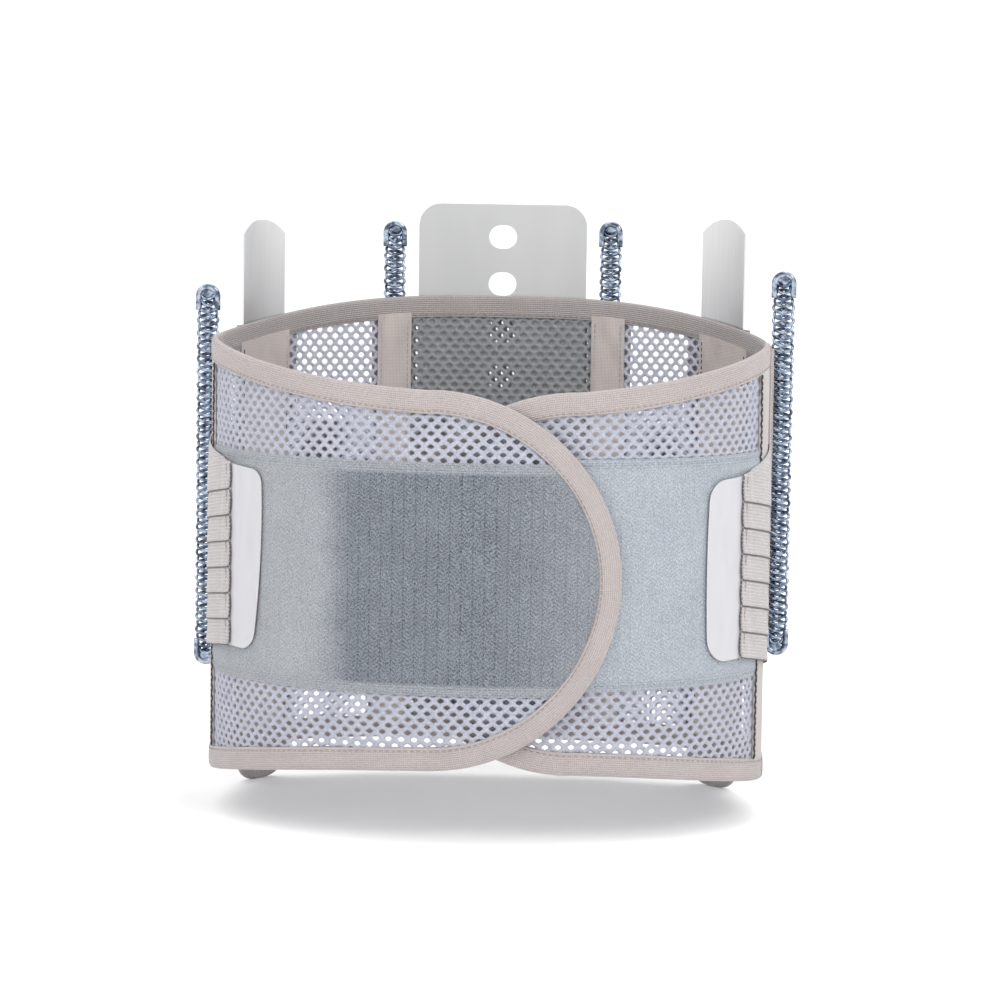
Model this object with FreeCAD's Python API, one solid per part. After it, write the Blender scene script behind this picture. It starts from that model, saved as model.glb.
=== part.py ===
"""Lumbar back brace, closed round the waist, with its stays drawn part of the way out of their sleeves.

Units are millimetres. +Z is up along the wearer's spine and +Y points to the wearer's back, so the
closure faces -Y. The origin is the centre of the brace's box in X and Y, at the height of its lowest
point, the ends of the flat sleeves. The brace is one belt in layers. Each layer is a strip that follows
the belt's plan curve at its own distance outside it.
"""

import FreeCAD, Part
import math
import os

V = FreeCAD.Vector
LEFT = -1
RIGHT = 1

# Plan curve of the belt's inner face: superellipse halves that meet at the side seams.
HALF_WIDTH = 144.0
FRONT_DEPTH = 105.0
BACK_DEPTH = 100.0
FRONT_POWER = 2.2
BACK_POWER = 2.8
OUTER_FLAP_LIFT = 5.6  # the left flap closes over the right one
CENTRE_Y = 4.4  # moves the plan so that the brace's box is centred on the origin
SPARE = 4.0  # how far a blank runs past the outline that trims it
ABOVE_BELT = 300.0  # a height above the belt's top edge everywhere
JUST_CLEAR = 0.02  # keeps layers of one body from sharing a face
PLAN_STEPS = 3000
STATION_STEP = 9.0
FAN_STEP = 5.0
EDGE_STEP = 10.0

# Heights of the belt's edges. The top edge is high at the back and dips in front, where the hem rises.
SIDE_HEM_Z = 19.5
SIDE_TOP_Z = 250.0
BACK_RISE = {"z": 17.6, "at": 100.0, "power": 3.0}
FRONT_DIP = {
    LEFT: {"z": 18.5, "at": 108.0, "power": 2.2},
    RIGHT: {"z": 22.5, "at": 108.0, "power": 1.8},
}
HEM_RISE = {"z": 18.0, "at": 108.0, "power": 1.4}
BINDING_WIDTH = 12.0

# Layers, as distances outside the plan curve.
MESH_T = 1.8
LOOP_BAND_OUT = 3.2
BINDING_IN = -0.5
BINDING_OUT = 3.4
BACK_BINDING_IN = -0.6
SEAM_GAP = 1.5
SEAM_TAPE_WIDTH = 31.0
SEAM_TAPE_OUT = 3.0

# The front flaps and their wide loop bands.
LOOP_BAND_Z = {LEFT: (76.5, 194.5), RIGHT: (78.5, 196.5)}
TONGUE = {
    LEFT: {"x": -24.0, "z": 134.6, "r": 96.6},
    RIGHT: {"x": 50.0, "z": 133.0, "r": 97.4},
}
HOOK_PATCH_T = 1.2
HOOK_PATCH = {"s0": 25.0, "s1": -45.0, "low": 90.0, "high": 182.0}

# Sleeves and the plate pocket, by distance along the back from its middle.
POCKET_HALF = 50.0
POCKET_OUT = 5.4
POCKET_LOW_Z = 29.0
SPIRAL_SLEEVE = (50.6, 68.0)
SPIRAL_SLEEVE_OUT = 7.5
SPIRAL_SLEEVE_LOW_Z = 21.5
FLAT_SLEEVE = {LEFT: (118.0, 156.0), RIGHT: (108.5, 146.5)}
FLAT_LINING = {LEFT: (121.0, 159.0), RIGHT: (114.0, 152.0)}
FLAT_SLEEVE_OUT = 5.6
FLAT_SLEEVE_TRIM = 0.4
FLAT_LOBE_IN = 0.2
FLAT_LOBE_DROP = 0.3  # the lobe, which is thicker, starts this far below the hem
LOBE_R = 17.0
SLEEVE_WALL = 0.8
SLEEVE_SIDE = 1.5
SLEEVE_TOP_DROP = 3.0
TAPE_IN = -0.9

# Stays.
PLATE_HALF = 47.0
PLATE_TRIM = 0.6  # the outline is this much narrower than the strip along the curve
PLATE_LENGTH = 215.0
PLATE_TOP_Z = 318.0
PLATE_LAYER = (2.4, 3.6)
PLATE_CORNER_R = 12.0
PLATE_HOLE = (15.5, 13.0)
PLATE_HOLE_PITCH = 26.0
PLATE_HOLE_FIRST = 18.0
PLATE_HOLES = 8
FLAT_HALF = 15.6
FLAT_END_RISE = 7.6
FLAT_LENGTH = 240.0
FLAT_TOP_Z = {LEFT: 308.6, RIGHT: 312.6}
FLAT_LAYER = (2.4, 3.6)
SPIRAL_LENGTH = 206.0
SPIRAL_WIDTH = 11.8
SPIRAL_T = 3.4
SPIRAL_WIRE = 1.3
SPIRAL_PITCH = 3.2
SPIRAL_END = 4.6
CAP_LENGTH = 14.0
CAP_WIDTH = 13.2
CAP_T = 4.2
CAP_WALL = 0.4
CAP_R = 6.0
BACK_SPIRAL_S = 59.3
BACK_SPIRAL_D = 4.2
BACK_SPIRAL_TOP_Z = {LEFT: 308.0, RIGHT: 309.5}
SIDE_SPIRAL_X = 154.0
SIDE_SPIRAL_Y = 27.0
SIDE_SPIRAL_TOP_Z = {LEFT: 275.0, RIGHT: 287.0}

# Side channels that hold the side spirals by their inner edge.
CHANNEL_BASE = (146.5, 147.1)
CHANNEL_WALL = 0.9
CHANNEL_CLEAR = 0.25
CHANNEL_FOOT_X = 144.95
CHANNEL_REAR_X = 152.1
CHANNEL_LIP_X = 149.6
CHANNEL_LOW_Z = 86.0
CHANNEL_HIGH_Z = 246.0
CHANNEL_FOOT_Z = 200.2  # the foot is sewn to the mesh above the strap

# Pull straps: seven elastic bands that fan out to the back and end in a hook tab in front.
BANDS = 7
BAND_T = 1.2
STRAP_LAYER = 3.5
STRAP_CLEAR = 0.2  # between the rear bands and what they lie on
RAMP = 14.0  # the rear bands rise over the flat sleeve from this far beside it
RAMP_END = 1.5
ANCHOR_S = 70.0
ANCHOR_WIDTH = 8.0
ANCHOR_T = 1.0
BAND_GAP = 0.4  # between one band and the next, in front of the seam
FAN_REAR = {"mid": 125.0, "pitch": 20.5, "height": 17.0}
FAN_SEAM = {
    LEFT: {"mid": 131.5, "pitch": 13.3, "height": 13.3 - BAND_GAP},
    RIGHT: {"mid": 129.5, "pitch": 13.7, "height": 13.7 - BAND_GAP},
}
FAN_TAB = {
    LEFT: {"mid": 140.6, "pitch": 13.5, "height": 13.5 - BAND_GAP},
    RIGHT: {"mid": 138.4, "pitch": 13.5, "height": 13.5 - BAND_GAP},
}
TOP_RISE = 19.0  # the top band widens upward to this much more at the seam
STRAP_SPLIT = 11.5  # along the flap from the side seam
STRAP_SPLIT_GAP = 0.5
STRAP_BAND_END = {LEFT: 63.0, RIGHT: 54.0}
TAB_END = {LEFT: 89.0, RIGHT: 79.5}
TAB_T = 1.0
TAB_CORNER = 9.0
TAB_CORNER_BOW = 0.2  # how far the corner's arc stands out and down, as shares of its size
TAB_CORNER_DROP = 0.4
TAB_TAPER = 2.0
TAB_BOW = 1.5
TAB_BUTT = 0.5  # the tab's square end runs this far under the bands' ends
HOOK_PAD_T = 0.7
HOOK_PAD_TRIM = 2.0


class Plan:
    """Half of the plan curve, by arc length from its middle, facing +1 to the back or -1 to the front."""

    def __init__(self, depth, power, facing):
        self.depth = depth
        self.power = power
        self.facing = facing
        self.points = []
        for i in range(PLAN_STEPS + 1):
            t = math.pi / 2 * i / PLAN_STEPS
            x = HALF_WIDTH * math.sin(t) ** (2 / power)
            y = depth * max(math.cos(t), 0.0) ** (2 / power)
            self.points.append((x, y))
        self.length = [0.0]
        for a, b in zip(self.points, self.points[1:]):
            self.length.append(self.length[-1] + math.dist(a, b))
        self.total = self.length[-1]

    def at(self, s, d, side):
        """The point at arc length s towards that side, d outside the curve."""
        far = min(abs(s), self.total)
        low, high = 0, PLAN_STEPS
        while high - low > 1:
            middle = (low + high) // 2
            if self.length[middle] <= far:
                low = middle
            else:
                high = middle
        share = (far - self.length[low]) / (self.length[high] - self.length[low])
        x = self.points[low][0] + share * (self.points[high][0] - self.points[low][0])
        y = self.points[low][1] + share * (self.points[high][1] - self.points[low][1])
        nx = (x / HALF_WIDTH) ** (self.power - 1) / HALF_WIDTH
        ny = (y / self.depth) ** (self.power - 1) / self.depth
        size = math.hypot(nx, ny)
        x += d * nx / size
        y += d * ny / size
        return side * math.copysign(x, s), self.facing * y

    def heading(self, s, side):
        """The angle, in degrees, of the outward normal there, from +Y towards +X."""
        inner = self.at(s, 0.0, side)
        outer = self.at(s, 1.0, side)
        return math.degrees(math.atan2(outer[0] - inner[0], outer[1] - inner[1]))


BACK = Plan(BACK_DEPTH, BACK_POWER, 1)
FRONT = {
    LEFT: Plan(FRONT_DEPTH + OUTER_FLAP_LIFT, FRONT_POWER, -1),
    RIGHT: Plan(FRONT_DEPTH, FRONT_POWER, -1),
}


def value(v, s):
    """v itself, or v at s if it is a function."""
    return v(s) if callable(v) else v


def swell(bend, y):
    return bend["z"] * (max(0.0, y) / bend["at"]) ** bend["power"]


def top_z(y, side):
    return SIDE_TOP_Z + swell(BACK_RISE, y) - swell(FRONT_DIP[side], -y)


def hem_z(y):
    return SIDE_HEM_Z + swell(HEM_RISE, -y)


def stations(s0, s1, step):
    count = max(3, math.ceil(abs(s1 - s0) / step) + 1)
    return [s0 + (s1 - s0) * i / (count - 1) for i in range(count)]


def strip(plan, side, s0, s1, inner, outer, low, high):
    """An upright strip along the plan from s0 to s1, between two layers and two heights."""
    along = stations(s0, s1, STATION_STEP)
    a = [V(*plan.at(s, inner, side), low) for s in along]
    b = [V(*plan.at(s, outer, side), low) for s in reversed(along)]
    curves = []
    for points in (a, b):
        curve = Part.BSplineCurve()
        curve.interpolate(points)
        curves.append(curve.toShape())
    ends = [Part.makeLine(a[-1], b[0]), Part.makeLine(b[-1], a[0])]
    wire = Part.Wire([curves[0], ends[0], curves[1], ends[1]])
    return Part.Face(wire).extrude(V(0, 0, high - low))


def fan_strip(plan, side, s0, s1, inner, outer, low, high):
    """A strip whose layers and heights may be functions of the arc length."""
    wires = []
    for s in stations(s0, s1, FAN_STEP):
        a = plan.at(s, value(inner, s), side)
        b = plan.at(s, value(outer, s), side)
        z0 = value(low, s)
        z1 = value(high, s)
        corners = [V(*a, z0), V(*b, z0), V(*b, z1), V(*a, z1)]
        wires.append(Part.makePolygon(corners + corners[:1]))
    solid = Part.makeLoft(wires, True, True)
    if solid.Volume < 0:
        solid.reverse()
    return solid


def between_edges(side, rise, drop):
    """All that lies between the hem and that side's top edge, less the two margins."""
    far = 200.0
    reach = 125.0
    curves = []
    for height in (lambda y: hem_z(y) + rise, lambda y: top_z(y, side) - drop):
        curve = Part.BSplineCurve()
        curve.interpolate([V(-far, y, height(y)) for y in stations(-reach, reach, EDGE_STEP)])
        curves.append(curve.toShape())
    hem, top = curves
    sides = [
        Part.makeLine(V(-far, y, hem_z(y) + rise), V(-far, y, top_z(y, side) - drop))
        for y in (-reach, reach)
    ]
    return Part.Face(Part.Wire([hem, sides[1], top, sides[0]])).extrude(V(2 * far, 0, 0))


def belt_strip(plan, side, s0, s1, inner, outer, rise=0.0, drop=0.0):
    """A strip as tall as the belt, less a margin at the hem and at the top edge."""
    whole = strip(plan, side, s0, s1, inner, outer, 0.0, ABOVE_BELT)
    return whole.common(between_edges(side, rise, drop))


def box(x0, x1, y0, y1, z0, z1):
    low = V(min(x0, x1), min(y0, y1), z0)
    return Part.makeBox(abs(x1 - x0), abs(y1 - y0), z1 - z0, low)


def plate_outline(half, low, high, corner_low, corner_high):
    """A closed face in XZ: a rectangle with round corners, of one radius below and one above."""
    a = math.sqrt(0.5)
    r0, r1 = corner_low, corner_high
    edges = [
        Part.LineSegment(V(-half + r0, 0, low), V(half - r0, 0, low)),
        Part.Arc(
            V(half - r0, 0, low),
            V(half - r0 + r0 * a, 0, low + r0 - r0 * a),
            V(half, 0, low + r0),
        ),
        Part.LineSegment(V(half, 0, low + r0), V(half, 0, high - r1)),
        Part.Arc(
            V(half, 0, high - r1),
            V(half - r1 + r1 * a, 0, high - r1 + r1 * a),
            V(half - r1, 0, high),
        ),
        Part.LineSegment(V(half - r1, 0, high), V(-half + r1, 0, high)),
        Part.Arc(
            V(-half + r1, 0, high),
            V(-half + r1 - r1 * a, 0, high - r1 + r1 * a),
            V(-half, 0, high - r1),
        ),
        Part.LineSegment(V(-half, 0, high - r1), V(-half, 0, low + r0)),
        Part.Arc(
            V(-half, 0, low + r0),
            V(-half + r0 - r0 * a, 0, low + r0 - r0 * a),
            V(-half + r0, 0, low),
        ),
    ]
    return Part.Face(Part.Wire([e.toShape() for e in edges]))


def stand_on(plan, shape, s, d, side):
    """Turns a shape made about X = 0, Y = 0 to face out of the plan at arc length s and layer d."""
    x, y = plan.at(s, d, side)
    shape.rotate(V(0, 0, 0), V(0, 0, 1), -plan.heading(s, side))
    shape.translate(V(x, y, 0))
    return shape


def trim_to_outline(shape, outline, plan, s, side):
    """Keeps what lies within an XZ outline, seen straight on at arc length s."""
    depth = 60.0
    cutter = outline.extrude(V(0, depth, 0))
    cutter.translate(V(0, -depth / 2, 0))
    return shape.common(stand_on(plan, cutter, s, MESH_T, side))


# Front flaps


def tongue_cutter(side, inset):
    """What lies outside the flap's round end, to be cut away."""
    round_end = TONGUE[side]
    past = 200.0
    near = -20.0  # the round end lies wholly in front of this Y
    block = box(round_end["x"], round_end["x"] - side * past, -past, near, -past, 2 * past)
    centre = V(round_end["x"], -past, round_end["z"])
    disc = Part.makeCylinder(round_end["r"] - inset, past, centre, V(0, 1, 0))
    return block.cut(disc)


def flap_blank(side, inner, outer, inset, s0):
    """The flap's whole outline, from arc length s0 to the round end, less a margin all round."""
    tip = side * TONGUE[side]["x"] - TONGUE[side]["r"] - SPARE
    blank = belt_strip(FRONT[side], side, s0, tip, inner, outer, inset, inset)
    return blank.cut(tongue_cutter(side, inset))


def front_mesh(side):
    return flap_blank(side, 0.0, MESH_T, BINDING_WIDTH, FRONT[side].total - SEAM_GAP)


def loop_band(side):
    """The wide band of brushed loop fabric sewn over the mesh."""
    s0 = FRONT[side].total - SEAM_TAPE_WIDTH
    blank = flap_blank(side, MESH_T, LOOP_BAND_OUT, BINDING_WIDTH, s0)
    low, high = LOOP_BAND_Z[side]
    reach = 2 * HALF_WIDTH
    return blank.common(box(-reach, reach, -reach, reach, low, high))


def front_binding(side):
    total = FRONT[side].total
    whole = flap_blank(side, BINDING_IN, BINDING_OUT, 0.0, total - SEAM_GAP)
    middle = flap_blank(side, BINDING_IN - SPARE, BINDING_OUT + SPARE, BINDING_WIDTH, total)
    return whole.cut(middle)


def hook_patch():
    """The hook patch inside the outer flap's end, which grips the other flap's loop band."""
    p = HOOK_PATCH
    inner = -HOOK_PATCH_T
    return strip(FRONT[LEFT], LEFT, p["s0"], p["s1"], inner, -JUST_CLEAR, p["low"], p["high"])


def seam_tape(side):
    """The woven tape over the flap's rear edge, beside the loop band and under the pull strap."""
    total = FRONT[side].total
    s0 = total - SEAM_GAP
    s1 = total - SEAM_TAPE_WIDTH
    return belt_strip(
        FRONT[side], side, s0, s1, MESH_T, SEAM_TAPE_OUT, BINDING_WIDTH, BINDING_WIDTH
    )


# Pull straps


def band_strip(plan, side, s0, s1, layer, end, index):
    """One elastic band from s0 to s1. Its fan changes from the seam's to end["fan"] at end["s"]."""
    span = end["s"] - plan.total
    at_seam = FAN_SEAM[side]

    def fan_height(key, share):
        return at_seam[key] + (end["fan"][key] - at_seam[key]) * share

    def edge(up):
        def height(s):
            share = (s - plan.total) / span
            place = fan_height("mid", share)
            place += (index - (BANDS - 1) / 2) * fan_height("pitch", share)
            if index == BANDS - 1 and up > 0:
                place += TOP_RISE * (1 - share)
            return place + up * fan_height("height", share) / 2

        return height

    def over(s):
        return value(layer, s) + BAND_T

    return fan_strip(plan, side, s0, s1, layer, over, edge(-1), edge(1))


def smooth(a, b, x):
    t = min(1.0, max(0.0, (x - a) / (b - a)))
    return t * t * (3 - 2 * t)


def rear_layer(side):
    """How far out the bands lie: flat on the mesh, up over the flat sleeve, and down again to the side."""
    low = MESH_T + STRAP_CLEAR
    rise = FLAT_SLEEVE_OUT + STRAP_CLEAR - low
    s0, s1 = FLAT_SLEEVE[side]

    def layer(s):
        up = smooth(s0 - RAMP, s0 - RAMP_END, s)
        down = smooth(s1 + RAMP_END, s1 + RAMP, s)
        to_seam = smooth(BACK.total - RAMP, BACK.total - RAMP_END, s)
        return low + rise * (up - down) + (STRAP_LAYER - low) * to_seam

    return layer


def rear_bands(side):
    s1 = BACK.total - SEAM_GAP
    end = {"fan": FAN_REAR, "s": ANCHOR_S}
    bands = [
        band_strip(BACK, side, ANCHOR_S, s1, rear_layer(side), end, i) for i in range(BANDS)
    ]
    return Part.makeCompound(bands)


def strap_anchor(side):
    """The tape that sews the bands' rear ends down beside the spiral sleeve."""
    half = FAN_REAR["pitch"] * BANDS / 2
    low = FAN_REAR["mid"] - half
    high = FAN_REAR["mid"] + half
    inner = rear_layer(side)(ANCHOR_S) + BAND_T + JUST_CLEAR
    return strip(BACK, side, ANCHOR_S, ANCHOR_S + ANCHOR_WIDTH, inner, inner + ANCHOR_T, low, high)


def front_band(side, s0, s1, index):
    """One band between two distances forward of the side seam."""
    plan = FRONT[side]
    end = {"fan": FAN_TAB[side], "s": plan.total - STRAP_BAND_END[side]}
    return band_strip(plan, side, plan.total - s0, plan.total - s1, STRAP_LAYER, end, index)


def strap_root(side):
    """The first stretch of the bands in front of the seam, which stays with the flap."""
    end = STRAP_SPLIT - STRAP_SPLIT_GAP
    return Part.makeCompound([front_band(side, SEAM_GAP, end, i) for i in range(BANDS)])


def strap_band(side, index):
    return front_band(side, STRAP_SPLIT + STRAP_SPLIT_GAP, STRAP_BAND_END[side], index)


def tab_outline(side, trim):
    """The tab's XZ outline: square at the bands, round and slightly bowed at its free end."""
    half = FAN_TAB[side]["pitch"] * BANDS / 2 - trim
    length = (TAB_END[side] - STRAP_BAND_END[side]) / 2
    root = -side * (length + TAB_BUTT)
    tip = length - trim
    end = half - TAB_TAPER
    shoulder = V(side * (tip - TAB_CORNER), 0, end)
    corner = V(side * (tip - TAB_BOW - TAB_CORNER * TAB_CORNER_BOW), 0, end - TAB_CORNER * TAB_CORNER_DROP)
    cheek = V(side * (tip - TAB_BOW), 0, end - TAB_CORNER)
    down = [V(p.x, 0, -p.z) for p in (shoulder, corner, cheek)]
    edges = [
        Part.makeLine(V(root, 0, -half), V(root, 0, half)),
        Part.makeLine(V(root, 0, half), shoulder),
        Part.Arc(shoulder, corner, cheek).toShape(),
        Part.Arc(cheek, V(side * tip, 0, 0), down[2]).toShape(),
        Part.Arc(down[2], down[1], down[0]).toShape(),
        Part.makeLine(down[0], V(root, 0, -half)),
    ]
    face = Part.Face(Part.Wire(edges))
    face.translate(V(0, 0, FAN_TAB[side]["mid"]))
    return face


def tab_layer(side, inner, outer, trim):
    """One of the tab's two layers, the smooth shell or the hook pad under it."""
    plan = FRONT[side]
    middle = plan.total - (STRAP_BAND_END[side] + TAB_END[side]) / 2
    s0 = plan.total - STRAP_BAND_END[side] - trim
    s1 = plan.total - TAB_END[side] - SPARE
    blank = strip(plan, side, s0, s1, inner, outer, 0.0, ABOVE_BELT)
    return trim_to_outline(blank, tab_outline(side, trim), plan, middle, side)


# Back panel, sleeves and pocket


def back_mesh(side):
    s1 = BACK.total - SEAM_GAP
    return belt_strip(BACK, side, POCKET_HALF, s1, 0.0, MESH_T, BINDING_WIDTH, BINDING_WIDTH)


def back_centre_mesh():
    half = POCKET_HALF
    return belt_strip(BACK, RIGHT, -half, half, 0.0, MESH_T, BINDING_WIDTH, BINDING_WIDTH)


def back_binding(rise, drop):
    """The tape along one edge of the back, which is all that the two margins leave."""
    end = BACK.total - SEAM_GAP
    whole = belt_strip(BACK, RIGHT, -end, end, BACK_BINDING_IN, MESH_T)
    return whole.cut(between_edges(RIGHT, rise, drop))


def inner_tape(side, s0, s1):
    """The tape that lines a sleeve on the belt's inner face."""
    return belt_strip(BACK, side, s0, s1, TAPE_IN, -JUST_CLEAR, BINDING_WIDTH, BINDING_WIDTH)


def sleeve_cover(side, s0, s1, out, low):
    """A sleeve's outer wall and sides, open along the belt and at the top, closed at the bottom."""
    high = between_edges(side, -SIDE_HEM_Z, SLEEVE_TOP_DROP)
    cover = strip(BACK, side, s0, s1, MESH_T, out, low, ABOVE_BELT).common(high)
    edge = SLEEVE_SIDE
    inside = strip(
        BACK, side, s0 + edge, s1 - edge, MESH_T / 2, out - SLEEVE_WALL, low + edge, ABOVE_BELT + SPARE
    )
    return cover.cut(inside)


def spiral_sleeve(side):
    s0, s1 = SPIRAL_SLEEVE
    cover = sleeve_cover(side, s0, s1, SPIRAL_SLEEVE_OUT, SPIRAL_SLEEVE_LOW_Z)
    return Part.makeCompound([cover, inner_tape(side, s0, s1)])


def flat_sleeve(side):
    """The flat stay's sleeve, whose round closed end reaches below the hem."""
    s0, s1 = FLAT_SLEEVE[side]
    middle = (s0 + s1) / 2
    half = (s1 - s0) / 2 - FLAT_SLEEVE_TRIM
    edge = SLEEVE_SIDE
    join = SIDE_HEM_Z - FLAT_LOBE_DROP
    upper = strip(BACK, side, s0, s1, MESH_T, FLAT_SLEEVE_OUT, join, ABOVE_BELT)
    upper = upper.common(between_edges(side, -SIDE_HEM_Z, SLEEVE_TOP_DROP))
    lobe = strip(BACK, side, s0, s1, FLAT_LOBE_IN, FLAT_SLEEVE_OUT, -SPARE, join)
    past_top = ABOVE_BELT + LOBE_R
    outside = plate_outline(half, 0.0, past_top, LOBE_R, SLEEVE_SIDE)
    whole = trim_to_outline(upper.fuse(lobe), outside, BACK, middle, side)
    room_in = FLAT_LOBE_IN + SLEEVE_WALL
    room_out = FLAT_SLEEVE_OUT - SLEEVE_WALL
    room = strip(BACK, side, s0 - SPARE, s1 + SPARE, room_in, room_out, -SPARE, past_top + SPARE)
    inside = plate_outline(half - edge, edge, past_top, LOBE_R - edge, SLEEVE_SIDE)
    cover = whole.cut(trim_to_outline(room, inside, BACK, middle, side))
    return Part.makeCompound([cover, inner_tape(side, *FLAT_LINING[side])])


def plate_pocket():
    """The outer layer of the pocket at the middle of the back, open at the top for the plate."""
    return sleeve_cover(RIGHT, -POCKET_HALF, POCKET_HALF, POCKET_OUT, POCKET_LOW_Z)


def side_channel(side):
    """The folded tape at the side that grips the side spiral along its inner edge."""
    x0, x1 = (side * x for x in CHANNEL_BASE)
    half = CAP_T / 2 + CHANNEL_CLEAR
    front = SIDE_SPIRAL_Y - half
    rear = SIDE_SPIRAL_Y + half
    low = CHANNEL_LOW_Z
    high = CHANNEL_HIGH_Z
    wall = CHANNEL_WALL
    base = box(x0, x1, front - wall, rear + wall, low, high)
    lip = box(x0, side * CHANNEL_LIP_X, front - wall, front, low, high)
    back = box(x0, side * CHANNEL_REAR_X, rear, rear + wall, low, high)
    foot = box(side * CHANNEL_FOOT_X, x0, front, rear, CHANNEL_FOOT_Z, high)
    return base.fuse([lip, back, foot]).removeSplitter()


# Stays


def support_plate():
    """The flexible back plate, with a column of oval holes."""
    low = PLATE_TOP_Z - PLATE_LENGTH
    near = BACK_DEPTH / 2  # the plate lies between this Y and three times as far back
    blank = strip(BACK, RIGHT, -PLATE_HALF, PLATE_HALF, *PLATE_LAYER, low, PLATE_TOP_Z)
    rounded = plate_outline(
        PLATE_HALF - PLATE_TRIM, low, PLATE_TOP_Z, PLATE_CORNER_R, PLATE_CORNER_R
    )
    rounded = rounded.extrude(V(0, BACK_DEPTH, 0))
    rounded.translate(V(0, near, 0))
    plate = blank.common(rounded)
    width, height = PLATE_HOLE
    half = (width - height) / 2
    for i in range(PLATE_HOLES):
        z = PLATE_TOP_Z - PLATE_HOLE_FIRST - i * PLATE_HOLE_PITCH
        ends = [
            Part.makeCylinder(height / 2, BACK_DEPTH, V(x, near, z), V(0, 1, 0))
            for x in (-half, half)
        ]
        middle = box(-half, half, near, near + BACK_DEPTH, z - height / 2, z + height / 2)
        plate = plate.cut(middle.fuse(ends).removeSplitter())
    return plate


def flat_outline(low, high):
    """The flat stay's XZ outline: straight sides and bowed ends."""
    half = FLAT_HALF
    rise = FLAT_END_RISE
    edges = [
        Part.makeLine(V(half, 0, low + rise), V(half, 0, high - rise)),
        Part.Arc(V(half, 0, high - rise), V(0, 0, high), V(-half, 0, high - rise)).toShape(),
        Part.makeLine(V(-half, 0, high - rise), V(-half, 0, low + rise)),
        Part.Arc(V(-half, 0, low + rise), V(0, 0, low), V(half, 0, low + rise)).toShape(),
    ]
    return Part.Face(Part.Wire(edges))


def flat_stay(side):
    """A flat spring-steel stay with bowed ends."""
    high = FLAT_TOP_Z[side]
    low = high - FLAT_LENGTH
    middle = sum(FLAT_SLEEVE[side]) / 2
    s0, s1 = middle - FLAT_HALF - SPARE, middle + FLAT_HALF + SPARE
    blank = strip(BACK, side, s0, s1, *FLAT_LAYER, low - SPARE, high + SPARE)
    return trim_to_outline(blank, flat_outline(low, high), BACK, middle, side)


def spiral_coil(top_at):
    """The flattened wire of a spiral stay, as one serpentine, about X = 0 and Y = 0."""
    half = SPIRAL_WIDTH / 2
    wire = SPIRAL_WIRE
    rungs = int((SPIRAL_LENGTH - 2 * SPIRAL_END - wire) / SPIRAL_PITCH) + 1
    height = (rungs - 1) * SPIRAL_PITCH + wire
    base = top_at - SPIRAL_LENGTH / 2 - height / 2
    edges = {LEFT: [V(-half, 0, base)], RIGHT: [V(half, 0, base)]}
    for k in range(rungs - 1):
        open_side = LEFT if k % 2 == 0 else RIGHT
        outer = open_side * half
        inner = -open_side * (half - wire)
        z0 = base + k * SPIRAL_PITCH + wire
        z1 = base + (k + 1) * SPIRAL_PITCH
        edges[open_side] += [V(outer, 0, z0), V(inner, 0, z0), V(inner, 0, z1), V(outer, 0, z1)]
    end = base + height
    outline = edges[LEFT] + [V(-half, 0, end), V(half, 0, end)] + edges[RIGHT][::-1]
    coil = Part.Face(Part.makePolygon(outline + outline[:1])).extrude(V(0, SPIRAL_T, 0))
    coil.translate(V(0, -SPIRAL_T / 2, 0))
    return coil


def spiral_caps(top_at):
    """The crimped U tips on both ends of a spiral stay."""
    bottom = top_at - SPIRAL_LENGTH
    half = CAP_WIDTH / 2
    wall = CAP_WALL
    outer = plate_outline(half, bottom, top_at, CAP_R, CAP_R).extrude(V(0, CAP_T, 0))
    inner = plate_outline(half - wall, bottom + wall, top_at - wall, CAP_R - wall, CAP_R - wall)
    inner = inner.extrude(V(0, CAP_T - 2 * wall, 0))
    inner.translate(V(0, wall, 0))
    middle = box(-CAP_WIDTH, CAP_WIDTH, -CAP_T, 2 * CAP_T, bottom + CAP_LENGTH, top_at - CAP_LENGTH)
    caps = outer.cut(inner).cut(middle)
    caps.translate(V(0, -CAP_T / 2, 0))
    return caps


def spiral_at(shape, name, side):
    """Moves a spiral's piece to its sleeve on the back or to its channel at the side."""
    if name == "back":
        return stand_on(BACK, shape, BACK_SPIRAL_S, BACK_SPIRAL_D, side)
    shape.translate(V(side * SIDE_SPIRAL_X, SIDE_SPIRAL_Y, 0))
    return shape


def save(name, shape):
    """Writes one node, moved so that the brace's box is centred on the origin."""
    shape = shape.copy()
    shape.translate(V(0, CENTRE_Y, 0))
    solids = shape.Solids
    bad = [s for s in solids if not s.isValid() or s.Volume <= 0]
    if bad or not solids:
        raise RuntimeError(f"{name}: {len(bad)} of {len(solids)} solids are not sound")
    Part.makeCompound(solids).exportStep(f"parts/{name}.step")
    size = shape.BoundBox
    print(
        f"{name:24s} {len(solids):3d} solids  x {size.XMin:7.1f} {size.XMax:7.1f}"
        f"  y {size.YMin:7.1f} {size.YMax:7.1f}  z {size.ZMin:7.1f} {size.ZMax:7.1f}"
    )
    return size


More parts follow.
